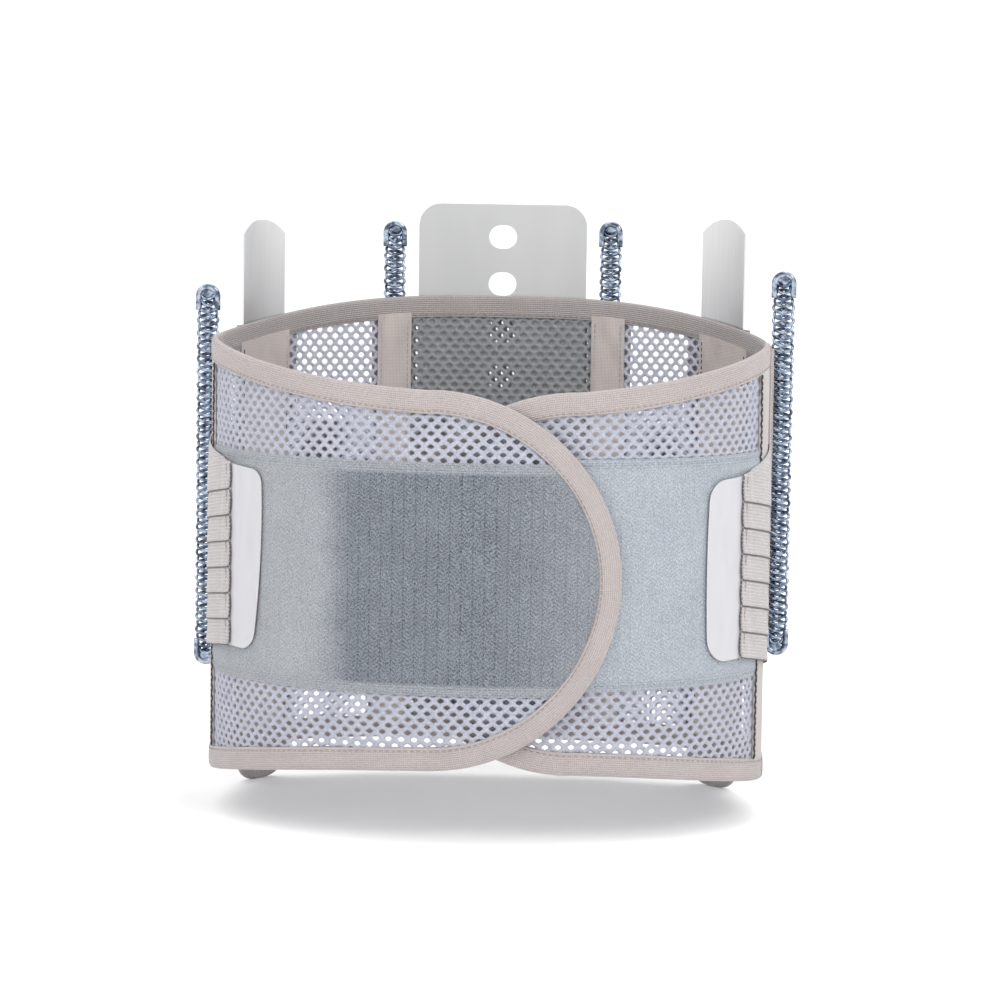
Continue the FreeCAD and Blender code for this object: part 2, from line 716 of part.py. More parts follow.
def main():
    os.makedirs("parts", exist_ok=True)
    beyond = -50.0  # a margin that leaves that edge whole
    boxes = [
        save("back_centre_mesh", back_centre_mesh()),
        save("back_top_binding", back_binding(beyond, BINDING_WIDTH)),
        save("back_bottom_binding", back_binding(BINDING_WIDTH, beyond)),
        save("plate_pocket", plate_pocket()),
        save("support_plate", support_plate()),
        save("hook_patch", hook_patch()),
    ]
    pad_in = STRAP_LAYER
    pad_out = pad_in + HOOK_PAD_T
    for side, word in ((LEFT, "left"), (RIGHT, "right")):
        boxes += [
            save(f"{word}_back_mesh", back_mesh(side)),
            save(f"{word}_spiral_sleeve", spiral_sleeve(side)),
            save(f"{word}_flat_sleeve", flat_sleeve(side)),
            save(f"{word}_side_channel", side_channel(side)),
            save(f"{word}_rear_bands", rear_bands(side)),
            save(f"{word}_strap_anchor", strap_anchor(side)),
            save(f"{word}_front_mesh", front_mesh(side)),
            save(f"{word}_loop_band", loop_band(side)),
            save(f"{word}_front_binding", front_binding(side)),
            save(f"{word}_seam_tape", seam_tape(side)),
            save(f"{word}_strap_root", strap_root(side)),
            save(f"{word}_hook_pad", tab_layer(side, pad_in, pad_out, HOOK_PAD_TRIM)),
            save(f"{word}_hook_tab", tab_layer(side, pad_out, pad_out + TAB_T, 0.0)),
            save(f"{word}_flat_stay", flat_stay(side)),
        ]
        for i in range(BANDS):
            boxes.append(save(f"{word}_strap_band_{i + 1}", strap_band(side, i)))
        for name, top_at in (("back", BACK_SPIRAL_TOP_Z), ("side", SIDE_SPIRAL_TOP_Z)):
            coil = spiral_at(spiral_coil(top_at[side]), name, side)
            caps = spiral_at(spiral_caps(top_at[side]), name, side)
            boxes.append(save(f"{word}_{name}_coil", coil))
            boxes.append(save(f"{word}_{name}_caps", caps))
    whole = FreeCAD.BoundBox()
    for b in boxes:
        whole.add(b)
    print("whole box", whole)
    print("arc lengths: back", BACK.total, "left", FRONT[LEFT].total, "right", FRONT[RIGHT].total)


main()
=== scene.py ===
"""The looks of a lumbar back brace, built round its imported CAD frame.

Lengths are millimetres in the geometry code, and become metres where a mesh is made. A place on the belt
is given by q, the distance along the belt forward of that side's seam (negative is backward of it), by the
height z, and by d, the distance outside the belt's plan curve, as in the CAD model.
"""

import math

import bpy
import numpy as np
from mathutils import Matrix, Vector


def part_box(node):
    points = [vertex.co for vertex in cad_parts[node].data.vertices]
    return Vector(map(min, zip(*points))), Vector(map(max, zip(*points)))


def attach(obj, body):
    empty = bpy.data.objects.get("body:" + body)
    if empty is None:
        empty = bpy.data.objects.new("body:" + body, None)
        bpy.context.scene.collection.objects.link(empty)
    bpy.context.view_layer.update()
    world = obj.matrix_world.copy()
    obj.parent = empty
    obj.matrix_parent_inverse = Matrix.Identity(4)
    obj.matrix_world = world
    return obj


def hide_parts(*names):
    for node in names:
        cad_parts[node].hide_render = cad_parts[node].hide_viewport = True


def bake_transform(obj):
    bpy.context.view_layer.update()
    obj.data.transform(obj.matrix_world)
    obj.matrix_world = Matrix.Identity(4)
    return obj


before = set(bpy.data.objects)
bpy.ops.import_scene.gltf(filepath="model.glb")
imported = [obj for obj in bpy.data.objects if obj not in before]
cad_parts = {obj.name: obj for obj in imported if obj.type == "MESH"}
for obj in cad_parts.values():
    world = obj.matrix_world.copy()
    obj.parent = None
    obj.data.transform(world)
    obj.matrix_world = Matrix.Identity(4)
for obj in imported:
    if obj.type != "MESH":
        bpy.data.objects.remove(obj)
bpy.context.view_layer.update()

MM = 0.001
LEFT = -1
RIGHT = 1
WORD = {LEFT: "left", RIGHT: "right"}
RNG = np.random.default_rng(7)

# The belt, as in the CAD model.
HALF_WIDTH = 144.0
FRONT_DEPTH = 105.0
BACK_DEPTH = 100.0
FRONT_POWER = 2.2
BACK_POWER = 2.8
OUTER_FLAP_LIFT = 5.6
CENTRE_Y = 4.4
SIDE_HEM_Z = 19.5
SIDE_TOP_Z = 250.0
BACK_RISE = {"z": 17.6, "at": 100.0, "power": 3.0}
FRONT_DIP = {
    LEFT: {"z": 18.5, "at": 108.0, "power": 2.2},
    RIGHT: {"z": 22.5, "at": 108.0, "power": 1.8},
}
HEM_RISE = {"z": 18.0, "at": 108.0, "power": 1.4}
BINDING_WIDTH = 12.0
MESH_T = 1.8
LOOP_BAND_Z = {LEFT: (76.5, 194.5), RIGHT: (78.5, 196.5)}
TONGUE = {
    LEFT: {"x": -24.0, "z": 134.6, "r": 96.6},
    RIGHT: {"x": 50.0, "z": 133.0, "r": 97.4},
}
SEAM_GAP = 1.5
SEAM_TAPE_WIDTH = 31.0
POCKET_HALF = 50.0
POCKET_LOW_Z = 29.0
SPIRAL_SLEEVE = (50.6, 68.0)
FLAT_SLEEVE = {LEFT: (118.0, 156.0), RIGHT: (108.5, 146.5)}
FLAT_LINING = {LEFT: (121.0, 159.0), RIGHT: (114.0, 152.0)}
SLEEVE_TOP_DROP = 3.0
CHANNEL_Z = (86.0, 246.0)
CHANNEL_FLANGE_LOW_Z = 201.0

# Cloth layers, and places that several pieces share.
MESH_LAYER = (0.05, MESH_T - 0.05)
MESH_INSET = BINDING_WIDTH - 5.5  # where the open mesh starts, in under the binding
BINDING_STITCH = 10.4  # how far in from the edge the binding is sewn
INNER_STITCH_D = -0.58
FLAP_BEND = (-6.0, 4.5)  # q between which cloth bends as the flap swings
PEEL_BEND = (7.0, 16.5)  # and as the strap peels

# Pull straps.
BANDS = 7
ANCHOR_S = 70.0
ANCHOR_WIDTH = 8.0
FAN_REAR = {"mid": 125.0, "pitch": 20.5}
FAN_SEAM = {LEFT: {"mid": 131.5, "pitch": 13.3}, RIGHT: {"mid": 129.5, "pitch": 13.7}}
FAN_TAB = {LEFT: {"mid": 140.6, "pitch": 13.5}, RIGHT: {"mid": 138.4, "pitch": 13.5}}
TOP_RISE = 19.0  # the top band widens upward to this much more at the seam
STRAP_CUT = 5.75  # where a band's rear and front lengths meet, between the two hinges
STRAP_BAND_END = {LEFT: 63.0, RIGHT: 54.0}
TAB_END = {LEFT: 89.0, RIGHT: 79.5}
STRAP_LAYER = 3.5

# Spiral stays.
SPIRAL_PITCH = 3.5
WIRE_R = 0.78
CAP_LENGTH = 14.0
CAP_WIDTH = 13.2
CAP_T = 4.2
BACK_SPIRAL_S = 59.3
BACK_SPIRAL_D = 4.2
SIDE_SPIRAL_X = 154.0
SIDE_SPIRAL_Y = 27.0


# The belt's surface


def lengths(a, b):
    """The distance along a path at each of its points."""
    return np.concatenate([[0.0], np.cumsum(np.hypot(np.diff(a), np.diff(b)))])


class Plan:
    """Half of the plan curve, by arc length from its middle, facing +1 to the back or -1 to the front."""

    def __init__(self, depth, power, facing):
        t = np.linspace(0.0, np.pi / 2, 4001)
        self.facing = facing
        self.x = HALF_WIDTH * np.sin(t) ** (2 / power)
        self.y = depth * np.clip(np.cos(t), 0.0, 1.0) ** (2 / power)
        self.s = lengths(self.x, self.y)
        self.total = self.s[-1]
        nx = (self.x / HALF_WIDTH) ** (power - 1) / HALF_WIDTH
        ny = (self.y / depth) ** (power - 1) / depth
        size = np.hypot(nx, ny)
        self.nx = nx / size
        self.ny = ny / size

    def at(self, s, d, side):
        far = np.abs(s)
        x = np.interp(far, self.s, self.x) + d * np.interp(far, self.s, self.nx)
        y = np.interp(far, self.s, self.y) + d * np.interp(far, self.s, self.ny)
        return side * np.where(s < 0, -x, x), self.facing * y

    def s_at_x(self, x):
        """The arc length at which the curve reaches x, negative on the far side of its middle."""
        return np.sign(x) * np.interp(np.abs(x), self.x, self.s)


BACK = Plan(BACK_DEPTH, BACK_POWER, 1)
FRONT = {
    LEFT: Plan(FRONT_DEPTH + OUTER_FLAP_LIFT, FRONT_POWER, -1),
    RIGHT: Plan(FRONT_DEPTH, FRONT_POWER, -1),
}


def plan_xy(side, q, d):
    front = FRONT[side].at(FRONT[side].total - q, d, side)
    rear = BACK.at(BACK.total + q, d, side)
    ahead = q >= 0
    return np.where(ahead, front[0], rear[0]), np.where(ahead, front[1], rear[1])


def on_belt(side, q, z, d):
    """Points in metres, in the row frame, for arrays of belt places."""
    q, z, d = np.broadcast_arrays(*(np.asarray(v, float) for v in (q, z, d)))
    x, y = plan_xy(side, q, d)
    return np.stack([x, y + CENTRE_Y, z], -1) * MM


def swell(bend, y):
    return bend["z"] * (np.maximum(0.0, y) / bend["at"]) ** bend["power"]


def top_z(side, q):
    y = plan_xy(side, np.asarray(q, float), 0.0)[1]
    return SIDE_TOP_Z + swell(BACK_RISE, y) - swell(FRONT_DIP[side], -y)


def hem_z(side, q):
    y = plan_xy(side, np.asarray(q, float), 0.0)[1]
    return SIDE_HEM_Z + swell(HEM_RISE, -y)


def trimmed(side, trim):
    """The belt's hem and top edge as functions of q, both set in by trim."""
    return lambda q: hem_z(side, q) + trim, lambda q: top_z(side, q) - trim


def upright(q, z, d):
    """A path up the belt through the heights z, for a row of stitches."""
    return 0 * z + q, z, 0 * z + d


def upright_uv(q, z, share):
    """Flat coordinates for a tape whose length runs upward."""
    return np.stack([z, q], -1)


def rounded_box(count, power):
    """Angles round a box with rounded corners, and its points, from -1 to 1 each way."""
    t = np.arange(count) * 2 * np.pi / count
    return t, *(np.sign(w) * np.abs(w) ** power for w in (np.cos(t), np.sin(t)))


def back_q(s):
    """q of a place on the back, s from its middle towards the side in hand."""
    return s - BACK.total


def tip_q(side):
    """q of the point where the flap's round end starts, and its furthest q."""
    total = FRONT[side].total
    x = side * TONGUE[side]["x"]
    return total - FRONT[side].s_at_x(x), total - FRONT[side].s_at_x(x - TONGUE[side]["r"])


def smooth(a, b, x):
    t = np.clip((x - a) / (b - a), 0.0, 1.0)
    return t * t * (3 - 2 * t)


def waver(u, v, size, seed):
    """Gentle unevenness of cloth: a few sine waves with fixed random phases."""
    rng = np.random.default_rng(seed)
    total = np.zeros(np.broadcast(u, v).shape)
    for _ in range(5):
        a, b = rng.normal(size=2) / size
        total = total + np.sin(a * u + b * v + rng.uniform(0, 2 * np.pi))
    return total / 5


# Mesh builders


def mesh_object(name, points, faces, uv=None, look=None, sharp=45.0):
    mesh = bpy.data.meshes.new(name)
    mesh.from_pydata(points.tolist(), [], faces)
    if uv is not None:
        layer = mesh.uv_layers.new(name="cloth")
        corners = np.empty(len(mesh.loops), int)
        mesh.loops.foreach_get("vertex_index", corners)
        layer.data.foreach_set("uv", np.ascontiguousarray(uv[corners] * MM, float).ravel())
    mesh.validate()
    mesh.shade_smooth()
    if sharp:
        mesh.set_sharp_from_angle(angle=math.radians(sharp))
    if look:
        mesh.materials.append(look)
    piece = bpy.data.objects.new(name, mesh)
    bpy.context.scene.collection.objects.link(piece)
    return piece


def quads(rows, columns, wrap=False):
    """Faces of a grid of points stored row by row. wrap closes each row into a ring."""
    i = np.arange(rows - 1)[:, None]
    j = np.arange(columns if wrap else columns - 1)[None, :]
    k = (j + 1) % columns
    faces = np.stack([i * columns + j, i * columns + k, (i + 1) * columns + k, (i + 1) * columns + j], -1)
    return faces.reshape(-1, 4)


def skin_and_rim(rows, columns):
    """Faces of one side of a sheet, and of the walls to its other side, whose points are numbered on."""
    count = rows * columns
    ids = np.arange(count).reshape(rows, columns)
    ring = np.concatenate([ids[:-1, 0], ids[-1, :-1], ids[:0:-1, -1], ids[0, :0:-1]])
    after = np.roll(ring, -1)
    return quads(rows, columns), np.stack([ring, after, after + count, ring + count], -1)


def slab(name, side, q_range, z_range, layers, step=(3.0, 3.0), uv=None, look=None, warp=None):
    """A closed piece of cloth.

    z_range holds two numbers or functions of q, and layers two numbers or functions of q, z and the share
    of the way up. warp moves the points along the belt.
    """
    nq = max(2, round(abs(q_range[1] - q_range[0]) / step[0]) + 1)
    q = np.linspace(*q_range, nq)
    low, high = (v(q) if callable(v) else np.full(nq, float(v)) for v in z_range)
    nz = max(2, round(np.max(high - low) / step[1]) + 1)
    share = np.linspace(0.0, 1.0, nz)
    z = low[:, None] + (high - low)[:, None] * share[None, :]
    q = np.repeat(q[:, None], nz, 1)
    if warp:
        q = warp(q, share[None, :])
    points = []
    for layer in layers:
        d = layer(q, z, share[None, :]) if callable(layer) else np.full(q.shape, float(layer))
        points.append(on_belt(side, q, z, d).reshape(-1, 3))
    flat = np.stack([q, z], -1) if uv is None else uv(q, z, share[None, :] + 0 * q)
    skin, rim = skin_and_rim(nq, nz)
    inner, outer = skin, skin[:, ::-1] + nq * nz
    if side == LEFT:
        inner, outer = inner[:, ::-1], outer[:, ::-1]
    else:
        rim = rim[:, ::-1]
    faces = np.concatenate([inner, outer, rim]).tolist()
    both = np.concatenate([flat.reshape(-1, 2)] * 2)
    return mesh_object(name, np.concatenate(points), faces, both, look)


def skin_loops(name, loops, uv=None, look=None, sharp=45.0):
    """A closed skin through rings of points, loops[ring][point], with a cap at each end."""
    rings, count = loops.shape[:2]
    faces = quads(rings, count, wrap=True).tolist()
    faces.append(list(range(count))[::-1])
    faces.append(list(range((rings - 1) * count, rings * count)))
    return mesh_object(name, loops.reshape(-1, 3), faces, uv, look, sharp)


def face_outward(piece):
    """Turns a closed piece's faces outward."""
    mesh = piece.data
    co = np.empty(len(mesh.vertices) * 3)
    mesh.vertices.foreach_get("co", co)
    co = co.reshape(-1, 3)
    volume = 0.0
    for polygon in mesh.polygons:
        ids = polygon.vertices
        a = co[ids[0]]
        for i in range(1, len(ids) - 1):
            volume += np.dot(a, np.cross(co[ids[i]], co[ids[i + 1]]))
    if volume < 0:
        mesh.flip_normals()
    return piece


def resample(q, z, step):
    """Evenly spaced points on a path of belt places, with the distance along it."""
    along = lengths(q, z)
    new = np.linspace(0.0, along[-1], max(3, round(along[-1] / step) + 1))
    return np.interp(new, along, q), np.interp(new, along, z), new


def inward(q, z, turn):
    """Unit vectors square to a path on the flat belt, to its left (+1) or right (-1)."""
    dq, dz = np.gradient(q), np.gradient(z)
    size = np.hypot(dq, dz)
    return -turn * dz / size, turn * dq / size


U_TAPE = [
    (12.0, 1.95), (11.8, 2.75), (11.0, 3.05), (8.0, 3.3), (4.0, 3.3), (1.6, 3.1), (0.35, 2.3), (0.0, 1.2),
    (0.35, 0.1), (1.6, -0.45), (4.0, -0.6), (8.0, -0.6), (11.0, -0.5), (11.8, -0.35), (12.0, -0.05),
    (4.0, -0.1), (1.3, 0.1), (1.0, 0.9), (1.3, 1.75), (4.0, 1.9),
]


def edge_tape(name, side, path, turn, look, profile=U_TAPE, lift=0.0, uneven=0.22, seed=1):
    """Folded tape sewn over an edge. profile holds (distance in from the edge, layer)."""
    q, z, along = resample(*path, 2.5)
    nq, nz = inward(q, z, turn)
    w = np.array([p[0] for p in profile])[None, :]
    d = np.array([p[1] for p in profile])[None, :]
    stray = uneven * waver(along[:, None], 0.0 * w, 9.0, seed) * smooth(0.0, 12.0, w)
    swing = 0.1 * waver(along[:, None], w * 2.0, 5.0, seed + 1)
    w_in = w + stray
    out = np.where(d > 1.3, d + lift, d - lift * 0.4) + np.where(d > 2.0, swing, 0.0)
    loops = on_belt(side, q[:, None] + nq[:, None] * w_in, z[:, None] + nz[:, None] * w_in, out)
    across = lengths(w[0], d[0])
    uv = np.stack(np.broadcast_arrays(along[:, None], across[None, :]), -1).reshape(-1, 2)
    return face_outward(skin_loops(name, loops, uv, look, 50.0))


def stitches(name, side, path, look, length=2.3, gap=0.9, radius=0.28, slant=0.0):
    """A row of thread stitches along a path of belt places (q, z, d). slant makes it a zigzag."""
    q, z, d = (np.asarray(v, float) for v in path)
    along = lengths(q, z)
    count = max(1, int(along[-1] / (length + gap)))
    middle = (np.arange(count) + 0.5) * along[-1] / count
    middle = middle + RNG.normal(0.0, 0.06, count)
    half = length / 2

    def spot(shift, lift):
        m = np.clip(middle + shift, 0.0, along[-1])
        return on_belt(side, np.interp(m, along, q), np.interp(m, along, z), np.interp(m, along, d) + lift)

    centre = spot(0.0, 0.0)
    ahead = spot(half, 0.0) - spot(-half, 0.0)
    ahead /= np.linalg.norm(ahead, axis=1)[:, None]
    out = spot(0.0, 1.0) - centre
    out /= np.linalg.norm(out, axis=1)[:, None]
    across = np.cross(ahead, out)
    tilt = np.where(np.arange(count) % 2 == 0, 1.0, -1.0)[:, None] * slant
    ahead = ahead * np.sqrt(1 - slant * slant) + across * tilt
    across = np.cross(ahead, out)
    sections = [(-1.0, 0.25, -0.5), (-0.8, 0.85, 0.1), (0.0, 1.0, 0.45), (0.8, 0.85, 0.1), (1.0, 0.25, -0.5)]
    sides_n = 6
    turn = np.arange(sides_n) * 2 * np.pi / sides_n
    rings = []
    for t, r, lift in sections:
        core = centre + (ahead * t * half + out * lift * radius) * MM
        ring = core[:, None, :] + radius * r * MM * (
            np.cos(turn)[None, :, None] * out[:, None, :] + np.sin(turn)[None, :, None] * across[:, None, :]
        )
        rings.append(ring)
    points = np.stack(rings, 1)
    per = len(sections) * sides_n
    one = quads(len(sections), sides_n, wrap=True)
    faces = (one[None] + (np.arange(count) * per)[:, None, None]).reshape(-1, 4).tolist()
    for k in range(count):
        faces.append([k * per + i for i in range(sides_n)][::-1])
        faces.append([k * per + per - sides_n + i for i in range(sides_n)])
    return mesh_object(name, points.reshape(-1, 3), faces, None, look, 0.0)


def holed_mesh(name, side, inside, q_range, z_range, layers, look, pitch, hole, seed=3):
    """Knitted mesh with real holes: staggered cells, each a rounded ring of yarn round an oval hole.

    inside(q, z) says which cell centres belong to the piece.
    """
    columns = int((q_range[1] - q_range[0]) / pitch[0]) + 2
    rows = int((z_range[1] - z_range[0]) / pitch[1]) + 2
    cell_q, cell_z = np.meshgrid(np.arange(columns), np.arange(rows))
    centre_q = q_range[0] + (cell_q + 0.5 * (cell_z % 2)) * pitch[0]
    centre_z = z_range[0] + cell_z * pitch[1]
    keep = inside(centre_q, centre_z)
    centre_q, centre_z = centre_q[keep], centre_z[keep]
    half_q = pitch[0] / 2
    tall = pitch[1] * 0.667
    short = pitch[1] - tall
    corners = [
        (half_q, 0.0), (half_q, short), (0.0, tall), (-half_q, short),
        (-half_q, 0.0), (-half_q, -short), (0.0, -tall), (half_q, -short),
    ]
    angles = [math.atan2(v * 1.15, u) for u, v in corners]
    inner, outer = layers
    middle = (inner + outer) / 2
    round_off = 0.30 * (outer - inner)
    index = {}
    points = []

    def shared(u, v, d):
        key = (round(u * 20), round(v * 20), d)
        if key not in index:
            index[key] = len(points)
            points.append((u, v, d))
        return index[key]

    def on_ring(u, v, angle, reach, d):
        points.append((u + hole[0] * reach * math.cos(angle), v + hole[1] * reach * math.sin(angle), d))
        return len(points) - 1

    faces = []
    size = 1.0 + 0.07 * waver(centre_q, centre_z, 6.0, seed)
    for u, v, k in zip(centre_q, centre_z, size):
        rings = {}
        for top in (outer, inner):
            rings[top, 0] = [shared(u + a, v + b, top) for a, b in corners]
            shift = round_off if top == inner else -round_off
            rings[top, 1] = [on_ring(u, v, t, 1.22 * k, top + shift) for t in angles]
        waist = [on_ring(u, v, t, k, middle) for t in angles]
        for i in range(8):
            j = (i + 1) % 8
            a, b = rings[outer, 0], rings[outer, 1]
            faces.append((a[i], a[j], b[j], b[i]))
            faces.append((b[i], b[j], waist[j], waist[i]))
            a, b = rings[inner, 0], rings[inner, 1]
            faces.append((a[j], a[i], b[i], b[j]))
            faces.append((b[j], b[i], waist[i], waist[j]))
    close_edge(faces, points, index, inner, outer)
    flat = np.array(points)
    sway = 0.12 * waver(flat[:, 0], flat[:, 1], 14.0, seed + 5)
    place = on_belt(side, flat[:, 0], flat[:, 1], flat[:, 2] + sway)
    faces = np.array(faces)
    if side == RIGHT:
        faces = faces[:, ::-1]
    return mesh_object(name, place, faces.tolist(), flat[:, :2], look, 0.0)


def close_edge(faces, points, index, inner, outer):
    """Walls between the two faces of a holed mesh, along its outline."""
    once = {}
    for face in faces:
        for a, b in zip(face, face[1:] + face[:1]):
            if (b, a) in once:
                del once[b, a]
            else:
                once[a, b] = True
    for a, b in list(once):
        if points[a][2] == outer and points[b][2] == outer:
            c = index[round(points[b][0] * 20), round(points[b][1] * 20), inner]
            e = index[round(points[a][0] * 20), round(points[a][1] * 20), inner]
            faces.append((b, a, e, c))


# Materials


class Shade:
    """One procedural material, built node by node on its Principled BSDF."""

    def __init__(self, name, **sockets):
        self.mat = bpy.data.materials.new(name)
        self.mat.use_nodes = True
        self.tree = self.mat.node_tree
        self.bsdf = self.tree.nodes["Principled BSDF"]
        for socket, value in sockets.items():
            self.bsdf.inputs[socket.replace("_", " ")].default_value = value
        self.place = None

    def add(self, kind, **settings):
        node = self.tree.nodes.new(kind)
        for key, value in settings.items():
            setattr(node, key, value)
        return node

    def set(self, socket, value):
        if isinstance(value, bpy.types.NodeSocket):
            self.tree.links.new(value, socket)
        else:
            socket.default_value = value

    def math(self, operation, a, b=0.0, c=0.0):
        node = self.add("ShaderNodeMath", operation=operation)
        for socket, value in zip(node.inputs, (a, b, c)):
            self.set(socket, value)
        return node.outputs[0]

    def weigh(self, *parts):
        """The sum of values, each given with its weight."""
        value, weight = parts[-1]
        total = self.math("MULTIPLY", value, weight)
        for value, weight in parts[-2::-1]:
            total = self.math("MULTIPLY_ADD", value, weight, total)
        return total

    def uv(self):
        """The cloth's own flat coordinates, in metres, as two sockets."""
        if not self.place:
            node = self.add("ShaderNodeUVMap", uv_map="cloth")
            split = self.add("ShaderNodeSeparateXYZ")
            self.tree.links.new(node.outputs["UV"], split.inputs[0])
            self.place = (split.outputs["X"], split.outputs["Y"])
        return self.place

    def wave(self, value, length):
        """0 to 1, once each length."""
        turn = self.math("SINE", self.math("MULTIPLY", value, 2 * math.pi / length))
        return self.math("MULTIPLY_ADD", turn, 0.5, 0.5)

    def noise(self, scale, detail=3.0, stretch=None):
        node = self.add("ShaderNodeTexNoise")
        node.inputs["Scale"].default_value = scale
        node.inputs["Detail"].default_value = detail
        where = self.add("ShaderNodeTexCoord").outputs["Object"]
        if stretch:
            mapping = self.add("ShaderNodeMapping")
            mapping.inputs["Scale"].default_value = stretch
            self.tree.links.new(where, mapping.inputs["Vector"])
            where = mapping.outputs["Vector"]
        self.tree.links.new(where, node.inputs["Vector"])
        return node.outputs["Fac"]

    def grain(self, scale, detail=3.0):
        """Fine noise stretched to the whole of 0 to 1."""
        return self.ramp(self.noise(scale, detail), 0.36, 0.64)

    def ramp(self, value, low, high):
        """value mapped from low..high to a smooth 0..1."""
        node = self.add("ShaderNodeMapRange", interpolation_type="SMOOTHSTEP")
        self.set(node.inputs["Value"], value)
        node.inputs["From Min"].default_value = low
        node.inputs["From Max"].default_value = high
        return node.outputs["Result"]

    def mix(self, factor, a, b):
        node = self.add("ShaderNodeMix", data_type="RGBA")
        self.set(node.inputs[0], factor)
        self.set(node.inputs[6], a)
        self.set(node.inputs[7], b)
        return node.outputs[2]

    def color(self, value):
        self.set(self.bsdf.inputs["Base Color"], value)

    def rough(self, value):
        self.set(self.bsdf.inputs["Roughness"], value)

    def bump(self, height, depth, strength=1.0):
        node = self.add("ShaderNodeBump")
        node.inputs["Strength"].default_value = strength
        node.inputs["Distance"].default_value = depth * MM
        self.set(node.inputs["Height"], height)
        before = self.bsdf.inputs["Normal"].links
        if before:
            self.tree.links.new(before[0].from_socket, node.inputs["Normal"])
        self.tree.links.new(node.outputs["Normal"], self.bsdf.inputs["Normal"])


def rgb(r, g, b):
    """A colour from its usual 0 to 255 values."""
    linear = [v / 255 / 12.92 if v <= 10 else ((v / 255 + 0.055) / 1.055) ** 2.4 for v in (r, g, b)]
    return (*linear, 1.0)


def yarn_look(name, light, dark):
    """Matt knitted yarn, for the open mesh."""
    m = Shade(name, Roughness=0.82, Sheen_Weight=0.25, Sheen_Roughness=0.5)
    u, v = m.uv()
    strand = 0.0011
    rising, falling = (m.wave(m.math(way, u, v), strand) for way in ("ADD", "SUBTRACT"))
    strands = m.math("MULTIPLY", rising, falling)
    patches = m.noise(90.0, 2.0)
    fuzz = m.grain(1100.0)
    shade = m.weigh((strands, 0.4), (patches, 0.3), (fuzz, 0.35))
    m.color(m.mix(shade, dark, light))
    m.bump(strands, 0.25)
    return m.mat


def loop_look(name, band_z, light, dark, painted_shade=None):
    """Brushed loop fabric in a herringbone knit, with paler selvages.

    The last argument gives the two colours of a shade painted over the stretch in the middle of the body,
    darker where the cloth faces forward, standing in for the pile's sheen, and how far forward of the seam it
    starts and begins to lighten again.
    """
    m = Shade(name, Roughness=0.9, Sheen_Weight=0.2, Sheen_Roughness=0.5)
    u, v = m.uv()
    column = 0.0029
    side_step = m.math("PINGPONG", u, column)
    twill = m.wave(m.math("MULTIPLY_ADD", side_step, 0.8, v), 0.0021)
    rib = m.ramp(side_step, column * 0.22, 0.0)
    fuzz = m.grain(1900.0, 3.0)
    cloud = m.noise(38.0, 3.0)
    cloth = m.mix(m.weigh((cloud, 0.3), (twill, 0.14), (fuzz, 0.62)), dark, light)
    if painted_shade:
        painted_shade_light, painted_shade_dark, start, paler = painted_shade
        # Painted shade: forward of start the cloth takes the darker shade colours, and past paler it lightens
        # part way again.
        crisp = m.weigh((twill, 0.2), (fuzz, 0.6), (cloud, 0.25))
        crisp = m.math("SUBTRACT", crisp, m.math("MULTIPLY", rib, 0.16))
        stray = m.math("MULTIPLY_ADD", m.noise(50.0, 3.0), 0.012, u)
        lower = m.mix(crisp, painted_shade_dark, painted_shade_light)
        lower = m.mix(m.math("MULTIPLY", m.ramp(u, paler, paler + 0.06), 0.4), lower, cloth)
        cloth = m.mix(m.ramp(stray, start, start + 0.024), cloth, lower)
    low, high = (z * MM for z in band_z)
    edge = m.math("MINIMUM", m.math("SUBTRACT", v, low), m.math("SUBTRACT", high, v))
    selvage = m.ramp(edge, 0.0064, 0.0046)
    weft = m.wave(v, 0.0013)
    pale = m.mix(m.weigh((weft, 0.35), (fuzz, 0.6)), dark, light)
    m.color(m.mix(m.math("MULTIPLY", selvage, 0.8), cloth, pale))
    height = m.math("MULTIPLY_ADD", fuzz, 0.6, m.math("SUBTRACT", twill, m.math("MULTIPLY", rib, 0.7)))
    m.bump(height, 0.35)
    return m.mat


def tape_look(name, light, dark, rib=0.0011):
    """Woven tape with fine ribs along it and across it."""
    m = Shade(name, Roughness=0.78, Sheen_Weight=0.3, Sheen_Roughness=0.4)
    u, v = m.uv()
    ribs = m.wave(v, rib)
    beat = m.wave(u, 0.00095)
    dirt = m.noise(70.0, 4.0)
    fuzz = m.grain(1300.0)
    m.color(m.mix(m.weigh((fuzz, 0.2), (ribs, 0.4), (beat, 0.25), (dirt, 0.25)), dark, light))
    m.bump(m.math("MULTIPLY_ADD", beat, 0.5, ribs), 0.3)
    return m.mat


def elastic_look():
    """Ribbed elastic in bands, each with a shaded lower edge."""
    m = Shade("elastic", Roughness=0.75, Sheen_Weight=0.3, Sheen_Roughness=0.4)
    u, v = m.uv()
    ribs = m.wave(v, 0.0017)
    beat = m.wave(u, 0.0009)
    dirt = m.noise(70.0, 4.0)
    fuzz = m.grain(1500.0)
    tone = m.weigh((fuzz, 0.35), (ribs, 0.28), (beat, 0.12), (dirt, 0.3))
    cloth = m.mix(tone, rgb(160, 155, 157), rgb(214, 209, 209))
    # Painted shadow: the lowest millimetre of each band, where it meets the band below, turns dark.
    stray = m.math("MULTIPLY_ADD", m.noise(400.0, 2.0), 0.0005, v)
    m.color(m.mix(m.ramp(stray, 0.00115, 0.00065), cloth, rgb(74, 70, 74)))
    m.bump(m.math("MULTIPLY_ADD", beat, 0.4, ribs), 0.4)
    return m.mat


